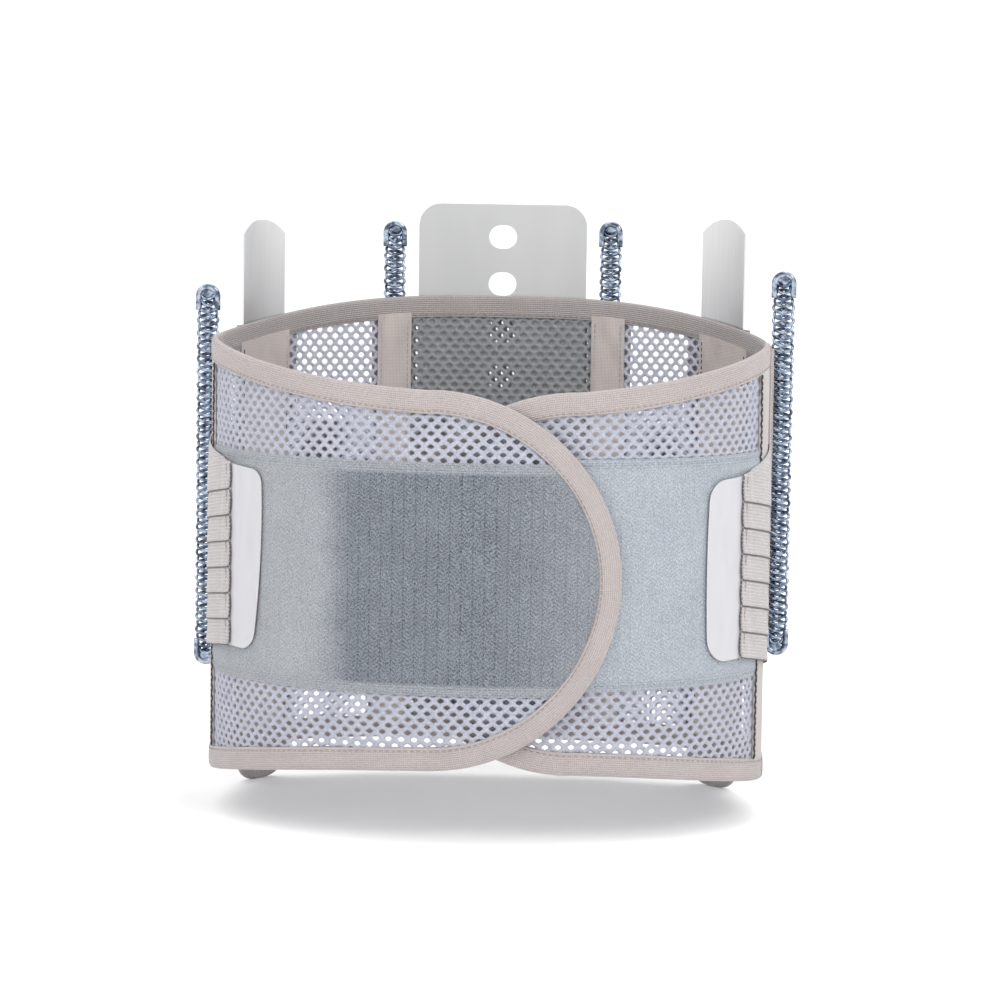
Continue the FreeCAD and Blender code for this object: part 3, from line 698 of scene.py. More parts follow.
def weave_look(name, light, dark):
    """Plain woven cloth with slight creases, and shade painted into their hollows."""
    m = Shade(name, Roughness=0.85, Sheen_Weight=0.25, Sheen_Roughness=0.45)
    u, v = m.uv()
    thread = 0.0008
    over = m.math("MULTIPLY", m.wave(u, thread), m.wave(v, thread))
    crease_relief_and_shade = m.noise(75.0, 4.0, stretch=(1.0, 1.0, 0.4))
    # The creases' relief also sets the colour: painted shade, darker where the creases sink.
    tone = m.math("MULTIPLY_ADD", over, 0.35, m.math("MULTIPLY_ADD", crease_relief_and_shade, 0.4, 0.12))
    m.color(m.mix(tone, dark, light))
    m.bump(over, 0.22)
    m.bump(crease_relief_and_shade, 1.2, 0.7)
    return m.mat


def thread_look(name, light, dark):
    m = Shade(name, Roughness=0.6, Sheen_Weight=0.2)
    m.color(m.mix(m.noise(900.0, 2.0), dark, light))
    return m.mat


def tab_look():
    """Smooth satin backing of the hook tabs, with faint scuffs."""
    m = Shade("tab_backing", Roughness=0.4, Subsurface_Weight=0.15)
    m.bsdf.inputs["Subsurface Radius"].default_value = (0.002, 0.002, 0.002)
    scuffs = m.noise(160.0, 5.0, stretch=(1.0, 1.0, 0.2))
    m.color(m.mix(scuffs, rgb(190, 189, 193), rgb(204, 203, 207)))
    m.rough(m.math("MULTIPLY_ADD", scuffs, 0.25, 0.28))
    m.bump(m.noise(420.0, 2.0), 0.03)
    return m.mat


def hook_look():
    """Fine moulded hooks in rows."""
    m = Shade("hook_tape", Roughness=0.5)
    u, v = m.uv()
    pins = m.math("MULTIPLY", m.wave(u, 0.0013), m.wave(v, 0.0009))
    m.color(m.mix(pins, rgb(186, 186, 190), rgb(236, 236, 240)))
    m.bump(pins, 0.6)
    return m.mat


def plate_look():
    """Translucent satin polyethylene with faint flow marks."""
    m = Shade("plate_plastic", Roughness=0.38, Transmission_Weight=0.12, IOR=1.5)
    flow = m.noise(14.0, 3.0, stretch=(3.0, 3.0, 0.6))
    m.color(m.mix(flow, rgb(196, 197, 197), rgb(212, 212, 212)))
    m.rough(m.math("MULTIPLY_ADD", m.noise(240.0, 4.0), 0.2, 0.28))
    m.bump(m.noise(520.0, 2.0), 0.02)
    return m.mat


def steel_look():
    """Satin spring steel, its fine grain along the stay."""
    m = Shade("spring_steel", Metallic=1.0, Roughness=0.3)
    grain = m.noise(1500.0, 3.0, stretch=(1.0, 1.0, 0.02))
    m.color(m.mix(grain, rgb(221, 221, 222), rgb(237, 237, 237)))
    m.rough(m.math("MULTIPLY_ADD", grain, 0.08, 0.34))
    m.bump(grain, 0.001)
    return m.mat


def zinc_look(name, light, dark):
    """Bright bluish zinc plate, duller in patches."""
    m = Shade(name, Metallic=1.0, Roughness=0.2)
    patches = m.grain(300.0, 4.0)
    m.color(m.mix(patches, dark, light))
    m.rough(m.math("MULTIPLY_ADD", patches, 0.16, 0.1))
    m.bump(m.noise(1400.0, 2.0), 0.02)
    return m.mat


BEIGE = (rgb(205, 196, 194), rgb(150, 140, 139))
LOOKS = {
    "mesh_front": yarn_look("mesh_front", rgb(214, 216, 227), rgb(152, 155, 171)),
    "mesh_window": yarn_look("mesh_window", rgb(232, 233, 243), rgb(170, 172, 190)),
    "mesh_centre": yarn_look("mesh_centre", rgb(180, 182, 184), rgb(120, 122, 126)),
    "loop_left": loop_look(
        "loop_left", LOOP_BAND_Z[LEFT], rgb(192, 195, 200), rgb(126, 131, 138),
        # colours of the shade painted over the middle of the left flap, where it starts, and where it
        # lightens again
        painted_shade=(rgb(156, 163, 173), rgb(50, 55, 63), 0.125, 0.205),
    ),
    "loop_right": loop_look("loop_right", LOOP_BAND_Z[RIGHT], rgb(202, 207, 215), rgb(132, 141, 153)),
    "binding": tape_look("binding", *BEIGE),
    "back_binding": tape_look("back_binding", rgb(190, 183, 181), rgb(140, 132, 131)),
    "seam_tape": tape_look("seam_tape", rgb(208, 201, 198), rgb(160, 152, 150), rib=0.0016),
    "elastic": elastic_look(),
    "sleeve": weave_look("sleeve", rgb(200, 195, 194), rgb(142, 137, 138)),
    "lining": weave_look("lining", rgb(246, 236, 230), rgb(150, 140, 136)),
    "thread": thread_look("thread", rgb(172, 162, 157), rgb(118, 108, 103)),
    "brown_thread": thread_look("brown_thread", rgb(106, 99, 100), rgb(66, 61, 64)),
    "dark_thread": thread_look("dark_thread", rgb(52, 48, 52), rgb(20, 18, 22)),
    "grey_thread": thread_look("grey_thread", rgb(176, 182, 190), rgb(136, 142, 152)),
    "tab": tab_look(),
    "hook": hook_look(),
    "plate": plate_look(),
    "steel": steel_look(),
    "wire": zinc_look("wire", rgb(172, 186, 206), rgb(70, 84, 106)),
    "cap": zinc_look("cap", rgb(176, 187, 202), rgb(84, 96, 114)),
}


def put(piece, bodies, slot, *nodes, across=None):
    """Rides a piece on its body, or, given across, bakes its place into its mesh, and hides the CAD nodes it
    stands for. slot is not used.
    """
    if across:
        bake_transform(piece)
    else:
        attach(piece, bodies)
    if nodes:
        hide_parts(*nodes)


def across_q(side, q0, q1):
    """The two points at q0 and q1 beside the seam, at mid height on the strap layer."""
    middle_z = 140.0
    return [tuple(on_belt(side, q, middle_z, STRAP_LAYER)) for q in (q0, q1)]


# Pieces: front flaps


def flap_outline(side, q0, inset=0.0):
    """The flap's edge from q0 along the top, round the end, and back along the hem, set in by inset."""
    turn_q = tip_q(side)[0]
    end = TONGUE[side]
    radius = end["r"] - inset
    q = np.linspace(q0, turn_q, 60)
    t = np.radians(np.linspace(88.0, -88.0, 90))
    round_x = side * end["x"] - radius * np.cos(t)
    round_q = FRONT[side].total - FRONT[side].s_at_x(round_x)
    round_z = end["z"] + radius * np.sin(t)
    path_q = np.concatenate([q, round_q, q[::-1]])
    path_z = np.concatenate([top_z(side, q) - inset, round_z, hem_z(side, q[::-1]) + inset])
    return path_q, path_z


def in_flap(side, q, z, inset):
    """Whether belt places lie on the flap, at least inset from its edge."""
    end = TONGUE[side]
    x = side * (plan_xy(side, q, 0.0)[0] - end["x"])
    tall = (z < top_z(side, q) - inset) & (z > hem_z(side, q) + inset)
    return tall & ((x > 0) | (np.hypot(x, z - end["z"]) < end["r"] - inset))


def flap_mesh(side):
    first = 6.0
    node = f"{WORD[side]}_front_mesh"

    def inside(q, z):
        return in_flap(side, q, z, MESH_INSET) & (q > first)

    piece = holed_mesh(
        node, side, inside, (first, tip_q(side)[1] + 5), (30.0, 260.0), MESH_LAYER, LOOKS["mesh_front"],
        pitch=(6.6, 3.38), hole=(1.62, 1.36),
    )
    put(piece, f"{WORD[side]}_flap", "mesh_fabric", node)


def band_bounds(side):
    """Low and high edge of the loop band as functions of q, cut to the flap's round end."""
    low, high = LOOP_BAND_Z[side]
    end = TONGUE[side]
    radius = end["r"] - 8.0

    def half_chord(q):
        x = side * (plan_xy(side, q, 0.0)[0] - end["x"])
        return np.where(x > 0, 400.0, np.sqrt(np.maximum(radius**2 - x**2, 0.0)))

    return (
        lambda q: np.maximum(low, end["z"] - half_chord(q)),
        lambda q: np.maximum(np.minimum(high, end["z"] + half_chord(q)), low + 0.01),
    )


def loop_band(side):
    word = WORD[side]
    total = FRONT[side].total
    round_end = TONGUE[side]
    end = total - FRONT[side].s_at_x(side * round_end["x"] - (round_end["r"] - 8.02))
    low, high = LOOP_BAND_Z[side]

    def outer(q, z, share):
        edge = np.minimum(z - low, high - z)
        body = smooth(4.2, 6.4, edge) * 0.55
        lip = smooth(0.0, 0.8, edge) * 0.35
        ribs = 0.07 * np.cos(q * 2 * np.pi / 5.8)
        full = body + lip + ribs * smooth(5.0, 7.0, edge) + 0.1 * waver(q, z, 13.0, 21)
        x = side * (plan_xy(side, q, 0.0)[0] - round_end["x"])
        to_end = np.where(x > 0, 99.0, round_end["r"] - np.hypot(x, z - round_end["z"]))
        return 2.2 + full * smooth(BINDING_WIDTH - 1.0, BINDING_WIDTH + 2.5, to_end)

    piece = slab(
        f"{word}_loop_band", side, (SEAM_TAPE_WIDTH - 2.0, end), band_bounds(side), (MESH_T + 0.02, outer),
        step=(1.55, 1.6), look=LOOKS[f"loop_{word}"],
    )
    put(piece, f"{word}_flap", "loop_fabric", f"{word}_loop_band")
    for name, rise in (("low", 2.6), ("high", -2.6)):
        z = (low if name == "low" else high) + rise
        reach = math.sqrt((round_end["r"] - BINDING_WIDTH) ** 2 - (z - round_end["z"]) ** 2)
        last = total - FRONT[side].s_at_x(side * round_end["x"] - reach)
        q = np.linspace(SEAM_TAPE_WIDTH + 1.0, last, 80)
        row = stitches(f"{word}_band_stitch_{name}", side, (q, 0 * q + z, 0 * q + 2.62), LOOKS["grey_thread"])
        put(row, f"{word}_flap", "loop_fabric")


def flap_binding(side):
    word = WORD[side]
    q, z = flap_outline(side, SEAM_GAP)
    piece = edge_tape(f"{word}_front_binding", side, (q, z), -1, LOOKS["binding"], seed=31 + side)
    put(piece, f"{word}_flap", "binding_tape", f"{word}_front_binding")
    for name, d in (("outer", 3.12), ("inner", INNER_STITCH_D)):
        q, z = flap_outline(side, 10.0, BINDING_STITCH)
        row = stitches(f"{word}_binding_stitch_{name}", side, (q, z, 0 * q + d), LOOKS["thread"])
        put(row, f"{word}_flap", "binding_tape")


def seam_tape(side):
    """The woven tape over the side seam, its dark zigzag, and the binding's wraps at the top and the hem."""
    word = WORD[side]
    bodies = ("back", f"{word}_flap")
    bend = across_q(side, *FLAP_BEND)

    def outer(q, z, share):
        return 2.55 + 0.35 * smooth(-6.0, 6.0, q) + 0.1 * waver(q, z, 10.0, 41 + side)

    piece = slab(
        f"{word}_seam_tape", side, (-12.0, SEAM_TAPE_WIDTH),
        trimmed(side, 8.0), (MESH_T + 0.04, outer), step=(1.5, 3.0), uv=upright_uv, look=LOOKS["seam_tape"],
    )
    put(piece, bodies, "binding_tape", f"{word}_seam_tape", across=bend)
    z = np.linspace(hem_z(side, 30.0) + BINDING_WIDTH, top_z(side, 30.0) - BINDING_WIDTH, 60)
    stray = 0.6 * waver(z, 0 * z, 7.0, 45)
    for name, q in (("front", SEAM_TAPE_WIDTH - 0.7), ("second", SEAM_TAPE_WIDTH + 0.1)):
        row = stitches(
            f"{word}_seam_zigzag_{name}", side, upright(q + stray, z, 3.1), LOOKS["dark_thread"],
            length=3.2, gap=-0.4, radius=0.45, slant=0.45,
        )
        put(row, f"{word}_flap", "binding_tape")
    q = np.linspace(-8.5, 8.5, 24)
    ends = {"top": (top_z(side, q), -1), "hem": (hem_z(side, q), 1)}
    for name, (height, turn) in ends.items():
        wrap = edge_tape(
            f"{word}_{name}_wrap", side, (q, height), turn, LOOKS["binding"], lift=0.45, uneven=0.1, seed=51
        )
        put(wrap, bodies, "binding_tape", across=bend)


def hook_patch():
    """The hook patch inside the outer flap's end."""
    total = FRONT[LEFT].total
    rear, ahead = -25.0, 45.0  # from the middle of the front
    low, high = 90.0, 182.0
    margin = 2.5
    piece = slab(
        "hook_patch", LEFT, (total + rear, total + ahead), (low, high), (-1.15, -0.04), step=(2.0, 2.0),
        look=LOOKS["hook"],
    )
    put(piece, "left_flap", "hook_tape", "hook_patch")
    q0, q1 = rear + margin, ahead - margin
    z0, z1 = low + margin, high - margin
    q = total + np.array([q0, q1, q1, q0, q0])
    z = np.array([z0, z0, z1, z1, z0])
    q, z, _ = resample(q, z, 2.0)
    row = stitches("hook_patch_stitch", LEFT, (q, z, 0 * q - 1.2), LOOKS["thread"])
    put(row, "left_flap", "hook_tape")


# Pieces: pull straps


def band_edges(side, index, q):
    """Low and high edge of one band at q. The fan has a corner at the seam."""
    behind = q < 0
    share = np.where(behind, q / back_q(ANCHOR_S), q / STRAP_BAND_END[side])
    seam, tab = FAN_SEAM[side], FAN_TAB[side]
    fan = {key: seam[key] + (np.where(behind, FAN_REAR[key], tab[key]) - seam[key]) * share for key in seam}
    low = fan["mid"] + (index - BANDS / 2) * fan["pitch"]
    high = low + fan["pitch"]
    if index == BANDS - 1:
        high = high + TOP_RISE * (1 - share)
    return low - 0.35, high + 0.45


def rear_layer(side, q):
    """How far out the bands lie behind the seam: over the flat sleeve, and down again to the side."""
    s = BACK.total + q
    low = MESH_T + 0.25
    s0, s1 = FLAT_SLEEVE[side]
    up = smooth(s0 - 15.0, s0 - 2.0, s)
    down = smooth(s1 + 2.0, s1 + 15.0, s)
    to_seam = smooth(BACK.total - 16.0, BACK.total - 1.0, s)
    return low + (5.85 - low) * (up - down) + (STRAP_LAYER - low) * to_seam


def band_layer(side, q):
    """The bands' inner face: on the back, on the flap, and up over the tab's root."""
    over_tab = 1.75 * smooth(STRAP_BAND_END[side] - 11.0, STRAP_BAND_END[side] - 4.0, q)
    return np.where(q < 0, rear_layer(side, np.minimum(q, 0.0)), STRAP_LAYER + over_tab)


def band_slab(name, side, q_range, index):
    """One pleated elastic band: its lower edge stands out over the band below."""
    root = STRAP_BAND_END[side]

    def inner(q, z, share):
        return band_layer(side, q) + 0.95 * (1.0 - share) ** 1.6

    def outer(q, z, share):
        edge = np.minimum(share, 1 - share) * 13.0
        swell_mid = 0.35 * np.sin(np.pi * share) * smooth(root - 9.0, root - 2.0, q)
        lip = 0.45 * smooth(0.0, 1.4, edge)
        return inner(q, z, share) + 0.5 + lip + swell_mid + 0.07 * waver(q, z, 4.0, 60 + index)

    def flat(q, z, share):
        return np.stack([q, z - band_edges(side, index, q)[0]], -1)

    def bulge(q, share):
        return q + 0.9 * np.sin(np.pi * share) * smooth(root - 6.0, root, q)

    return slab(
        name, side, q_range,
        (lambda q: band_edges(side, index, q)[0], lambda q: band_edges(side, index, q)[1]),
        (inner, outer), step=(1.5, 1.2), uv=flat, look=LOOKS["elastic"], warp=bulge,
    )


def strap(side):
    """The seven bands in two lengths, which meet between the seam and the line where the strap peels."""
    word = WORD[side]
    root = STRAP_BAND_END[side]
    to_flap = across_q(side, *FLAP_BEND)
    to_strap = across_q(side, *PEEL_BEND)
    for i in range(BANDS):
        rear = band_slab(f"{word}_rear_band_{i + 1}", side, (back_q(ANCHOR_S), STRAP_CUT), i)
        nodes = [f"{word}_rear_bands", f"{word}_strap_root"] if i == 0 else []
        put(rear, ("back", f"{word}_flap"), "elastic", *nodes, across=to_flap)
        node = f"{word}_strap_band_{i + 1}"
        front = band_slab(node, side, (STRAP_CUT, root + 0.6), i)
        put(front, (f"{word}_flap", f"{word}_strap"), "elastic", node, across=to_strap)
        low, high = (float(v) for v in band_edges(side, i, np.array(root)))
        z = np.linspace(low + 1.0, high - 0.8, 8)
        bow = 0.9 * np.sin(np.linspace(0.15, np.pi - 0.15, 8))
        for name, q, d, look, size in (
            ("inner", root - 1.6, 6.75, "thread", 0.22), ("edge", root + 0.75, 5.75, "brown_thread", 0.4)
        ):
            row = stitches(
                f"{node}_{name}_stitch", side, upright(q + bow, z, d), LOOKS[look], length=1.8, gap=0.3,
                radius=size, slant=0.2 if name == "edge" else 0.0,
            )
            put(row, f"{word}_strap", "elastic")


TAB_CORNERS = {LEFT: (7.0, 9.0), RIGHT: (10.0, 13.0)}  # upper and lower
TAB_LEAN = {LEFT: 5.5, RIGHT: 0.0}  # how much shorter the tab is along its lower edge


def hook_tab(side):
    """The smooth tab and the hook pad under it. Its free end bows out in the middle."""
    word = WORD[side]
    mid = FAN_TAB[side]["mid"]
    tip = TAB_END[side] - 1.4
    rows = 64
    columns = 26
    layers = {
        "hook_pad": (3.55, 4.1, 2.4, "hook", "hook_tape"),
        "hook_tab": (4.15, 4.95, 0.0, "tab", "tab_backing"),
    }
    for part, (inner, outer, trim, look, slot) in layers.items():
        root = STRAP_BAND_END[side] - 5.0 + trim
        half = FAN_TAB[side]["pitch"] * BANDS / 2 - trim
        v = np.sin(np.linspace(-np.pi / 2, np.pi / 2, rows))
        radius = np.where(v > 0, TAB_CORNERS[side][0], TAB_CORNERS[side][1])
        into = np.clip((np.abs(v) * half - half + radius) / radius, 0.0, 1.0)
        lean = TAB_LEAN[side] * ((1 - v) / 2) ** 2
        reach = tip - trim + 1.4 * (1 - v**2) - lean - radius * (1 - np.sqrt(1 - into**2))
        u = np.sin(np.linspace(0.0, np.pi / 2, columns))
        q = root + (reach[:, None] - root) * u[None, :]
        taper = np.clip((q - root) / (tip - root), 0.0, 1.0) * np.where(v > 0, 2.0, -1.2)[:, None]
        z = mid + v[:, None] * (half - taper)
        rim = np.minimum((1 - np.abs(v))[:, None] * 14.0, (1 - u)[None, :] * 30.0)
        puff = 0.28 * np.sqrt(np.clip(rim, 0.0, 1.0))
        sheets = np.stack([on_belt(side, q, z, d) for d in (inner + 0.28 - puff, outer - 0.28 + puff)])
        skin, walls = skin_and_rim(rows, columns)
        faces = np.concatenate([skin, skin[:, ::-1] + rows * columns, walls]).tolist()
        uv = np.concatenate([np.stack([q, z], -1).reshape(-1, 2)] * 2)
        piece = mesh_object(f"{word}_{part}", sheets.reshape(-1, 3), faces, uv, LOOKS[look], 60.0)
        put(face_outward(piece), f"{word}_strap", slot, f"{word}_{part}")


def strap_anchor(side):
    word = WORD[side]
    q0, q1 = back_q(ANCHOR_S) - 0.8, back_q(ANCHOR_S + ANCHOR_WIDTH)
    half = FAN_REAR["pitch"] * BANDS / 2 + 1.5
    low, high = FAN_REAR["mid"] - half, FAN_REAR["mid"] + half

    def outer(q, z, share):
        return 3.9 + 0.5 * smooth(0.0, 1.2, np.minimum(q - q0, q1 - q)) + 0.1 * waver(q, z, 8.0, 71)

    piece = slab(
        f"{word}_strap_anchor", side, (q0, q1), (low, high), (3.75, outer), step=(0.8, 3.0), uv=upright_uv,
        look=LOOKS["binding"],
    )
    put(piece, "back", "binding_tape", f"{word}_strap_anchor")
    z = np.linspace(low + 2, high - 2, 60)
    for k, q in enumerate((q0 + 1.8, q1 - 1.8)):
        row = stitches(f"{word}_anchor_stitch_{k + 1}", side, upright(q, z, 4.42), LOOKS["thread"])
        put(row, "back", "binding_tape")


# Pieces: back panel


def back_meshes():
    for side in (LEFT, RIGHT):
        word = WORD[side]

        def inside(q, z):
            s = BACK.total + q
            tall = (z < top_z(side, q) - MESH_INSET) & (z > hem_z(side, q) + MESH_INSET)
            shown = (s < FLAT_SLEEVE[side][0] + 8.0) | (s > FLAT_SLEEVE[side][1] - 3.0)
            return tall & shown & (s > POCKET_HALF + 2.0) & (q < -5.0)

        piece = holed_mesh(
            f"{word}_back_mesh", side, inside, (back_q(POCKET_HALF + 4.0), -4.0), (24.0, 275.0),
            MESH_LAYER, LOOKS["mesh_window"], pitch=(5.9, 3.5), hole=(1.5, 1.62),
        )
        put(piece, "back", "mesh_fabric", f"{word}_back_mesh")

    def inside(q, z):
        return (z < top_z(RIGHT, q) - MESH_INSET) & (z > hem_z(RIGHT, q) + MESH_INSET)

    panels = {
        "back_centre_mesh": (-51.0, 51.0, MESH_LAYER, "mesh_fabric"),
        "plate_pocket": (-49.2, 46.2, (4.65, 5.4), "sleeve_fabric"),
    }
    for name, (s0, s1, layer, slot) in panels.items():
        piece = holed_mesh(
            name, RIGHT, inside, (back_q(s0), back_q(s1)), (28.5, 275.0), layer, LOOKS["mesh_centre"],
            pitch=(6.3, 3.5), hole=(1.5, 1.45),
        )
        put(piece, "back", slot, name)


def back_bindings():
    """The tape along the back's top and hem. Its outer stitches leave out what the stay sleeves cover."""
    end = BACK.total - SEAM_GAP
    q = np.linspace(back_q(-end), back_q(end), 200)
    flatter = [(w, d - 1.3 if d > 1.3 else d) for w, d in U_TAPE]
    covers = [FLAT_SLEEVE[LEFT], SPIRAL_SLEEVE]
    covers = [(-b, -a) for a, b in covers] + [SPIRAL_SLEEVE, FLAT_SLEEVE[RIGHT]]
    bare = list(zip([-end] + [b for a, b in covers], [a for a, b in covers] + [end]))
    edges = {"back_top_binding": (top_z(RIGHT, q), -1), "back_bottom_binding": (hem_z(RIGHT, q), 1)}
    for name, (z, turn) in edges.items():
        piece = edge_tape(name, RIGHT, (q, z), turn, LOOKS["back_binding"], profile=flatter, seed=81)
        put(piece, "back", "binding_tape", name)
        seams = {"inner": ((-end, end), INNER_STITCH_D)}
        seams.update({f"outer_{k + 1}": (span, 2.2) for k, span in enumerate(bare)})
        for seam, ((a, b), d) in seams.items():
            shown = (q > back_q(a + 3.0)) & (q < back_q(b - 3.0))
            path = (q[shown], z[shown] + turn * BINDING_STITCH, 0 * q[shown] + d)
            row = stitches(f"{name}_stitch_{seam}", RIGHT, path, LOOKS["thread"])
            put(row, "back", "binding_tape")


def lining(side):
    """Tapes on the belt's inner face, behind the spiral sleeve and the flat sleeve."""
    word = WORD[side]
    spans = {"spiral_lining": SPIRAL_SLEEVE, "flat_lining": FLAT_LINING[side]}
    for name, (s0, s1) in spans.items():
        q0, q1 = back_q(s0 - 0.6), back_q(s1 + 0.6)

        def inner(q, z, share):
            puff = smooth(0.0, 3.5, np.minimum(q - q0, q1 - q))
            crease = 1.3 * waver(q * 1.3 + z * 0.5, z * 0.45 - q * 0.3, 6.0, 91 + side)
            return -0.9 - 0.9 * puff - crease * puff

        piece = slab(
            f"{word}_{name}", side, (q0, q1), trimmed(side, 9.0), (inner, -0.03), step=(1.2, 3.0),
            look=LOOKS["lining"],
        )
        put(piece, "back", "sleeve_fabric")
        thread = LOOKS["dark_thread"] if name == "flat_lining" else LOOKS["grey_thread"]
        for k, q in enumerate((q0 + 2.0, q1 - 2.0)):
            z = np.linspace(hem_z(side, q) + 13.0, top_z(side, q) - 12.5, 60)
            row = stitches(f"{word}_{name}_stitch_{k + 1}", side, upright(q, z, -1.6), thread)
            put(row, "back", "sleeve_fabric")


def sleeve_tube(name, side, s_range, d_range, low, look, wall, pinch, lobe_radius, lobe_shift=0.0):
    """A flattened cloth tube, open at the top and closed at its lower end."""
    middle_s = sum(s_range) / 2
    half_s = (s_range[1] - s_range[0]) / 2
    count = 40
    t, box_s, box_d = rounded_box(count, 0.45)
    high = top_z(side, back_q(middle_s)) - SLEEVE_TOP_DROP

    def ring(z, inset, walls):
        up = z - low - inset
        across = half_s - inset
        bend = min(1.0, max(0.0, up) / lobe_radius)
        width = across - lobe_radius * 0.92 * (1 - math.sqrt(1 - (1 - bend) ** 2))
        puff = min(1.0, math.sqrt(max(0.0, up) / pinch))
        d0, d1 = d_range[0] + walls[0], d_range[1] - walls[1]
        shift = lobe_shift * (1 - float(smooth(SIDE_HEM_Z - 6.0, SIDE_HEM_Z + 1.0, z)))
        middle_d = (d0 + d1) / 2 + shift
        half_d = max(0.12, (d1 - d0) / 2 * puff)
        s = middle_s + width * box_s
        crease = 0.14 * waver(s, z * 0.6 + 0 * s, 4.0, 101) * (box_d > 0.3) * (inset == 0)
        return on_belt(side, back_q(s), z + 0 * s, middle_d + half_d * box_d + crease)

    heights = np.concatenate([low + lobe_radius * (1 - np.cos(np.linspace(0.05, np.pi / 2, 12))) + 0.02,
                              np.linspace(low + lobe_radius + 3.0, high, 60)])
    outer = [ring(z, 0.0, (0.0, 0.0)) for z in heights]
    inner = [ring(z, wall * 1.6, (0.18, wall)) for z in heights[::-1] if z > low + wall * 1.6 + 0.6]
    loops = np.array(outer + inner)
    around = np.concatenate([np.tile(t[None] * half_s / 2, (len(loops), 1))[..., None],
                             np.tile(loops[:, :1, 2] / MM, (1, count))[..., None]], -1)
    return face_outward(skin_loops(name, loops, around.reshape(-1, 2), look, 50.0))


def sleeves(side):
    word = WORD[side]
    spiral = sleeve_tube(
        f"{word}_spiral_sleeve", side, (SPIRAL_SLEEVE[0] + 0.2, SPIRAL_SLEEVE[1] - 0.2), (1.84, 7.4),
        SIDE_HEM_Z + 2.0, LOOKS["sleeve"], 0.7, 2.5, 4.0,
    )
    put(spiral, "back", "sleeve_fabric", f"{word}_spiral_sleeve")
    flat = sleeve_tube(
        f"{word}_flat_sleeve", side, FLAT_SLEEVE[side], (1.84, 5.55), 0.1, LOOKS["sleeve"], 0.7, 3.0, 17.0,
        lobe_shift=-1.0,
    )
    put(flat, "back", "sleeve_fabric", f"{word}_flat_sleeve")
    spans = {"spiral": SPIRAL_SLEEVE, "flat": FLAT_SLEEVE[side]}
    for name, (s0, s1) in spans.items():
        for k, (a, b) in enumerate(((s0 - 3.6, s0 + 0.6), (s1 - 0.6, s1 + 3.6))):
            if name == "spiral" and k == 0:
                a, b = s0 - 2.4, s0 + 0.6
            edge = slab(
                f"{word}_{name}_flange_{k + 1}", side, (back_q(a), back_q(b)), trimmed(side, 9.0),
                (MESH_T + 0.03, MESH_T + 0.7), step=(0.8, 4.0), look=LOOKS["sleeve"],
            )
            put(edge, "back", "sleeve_fabric")
            q = back_q((a + b) / 2 - (0.5 if k == 0 else -0.5))
            z = np.linspace(hem_z(side, q) + 13.0, top_z(side, q) - 13.0, 60)
            path = upright(q, z, MESH_T + 0.72)
            row = stitches(f"{word}_{name}_flange_stitch_{k + 1}", side, path, LOOKS["grey_thread"])
            put(row, "back", "sleeve_fabric")


def pocket_tapes():
    """Woven tapes that bind the plate pocket's top, bottom and sides."""
    s = POCKET_HALF
    top = back_q(np.linspace(-s, s, 60))
    edges = {
        "pocket_top_tape": (top, top_z(RIGHT, top) - SLEEVE_TOP_DROP, -1),
        "pocket_bottom_tape": (top, 0 * top + POCKET_LOW_Z, 1),
    }
    narrow = [(w * 0.75, 4.55 + (d + 0.6) * 0.32) for w, d in U_TAPE]
    for name, (q, z, turn) in edges.items():
        piece = edge_tape(
            name, RIGHT, (q, z), turn, LOOKS["back_binding"], profile=narrow, uneven=0.1, seed=111
        )
        put(piece, "back", "sleeve_fabric")
    for side in (LEFT, RIGHT):
        q0, q1 = back_q(s - 2.6), back_q(s + 0.4)

        def outer(q, z, share):
            return 5.75 - 3.0 * smooth(q1 - 1.6, q1, q)

        piece = slab(
            f"{WORD[side]}_pocket_side_tape", side, (q0, q1),
            (POCKET_LOW_Z, lambda q: top_z(side, q) - SLEEVE_TOP_DROP),
            (lambda q, z, share: np.where(q > q1 - 1.7, MESH_T + 0.05, 4.5), outer), step=(0.4, 4.0),
            look=LOOKS["back_binding"],
        )
        put(piece, "back", "sleeve_fabric")


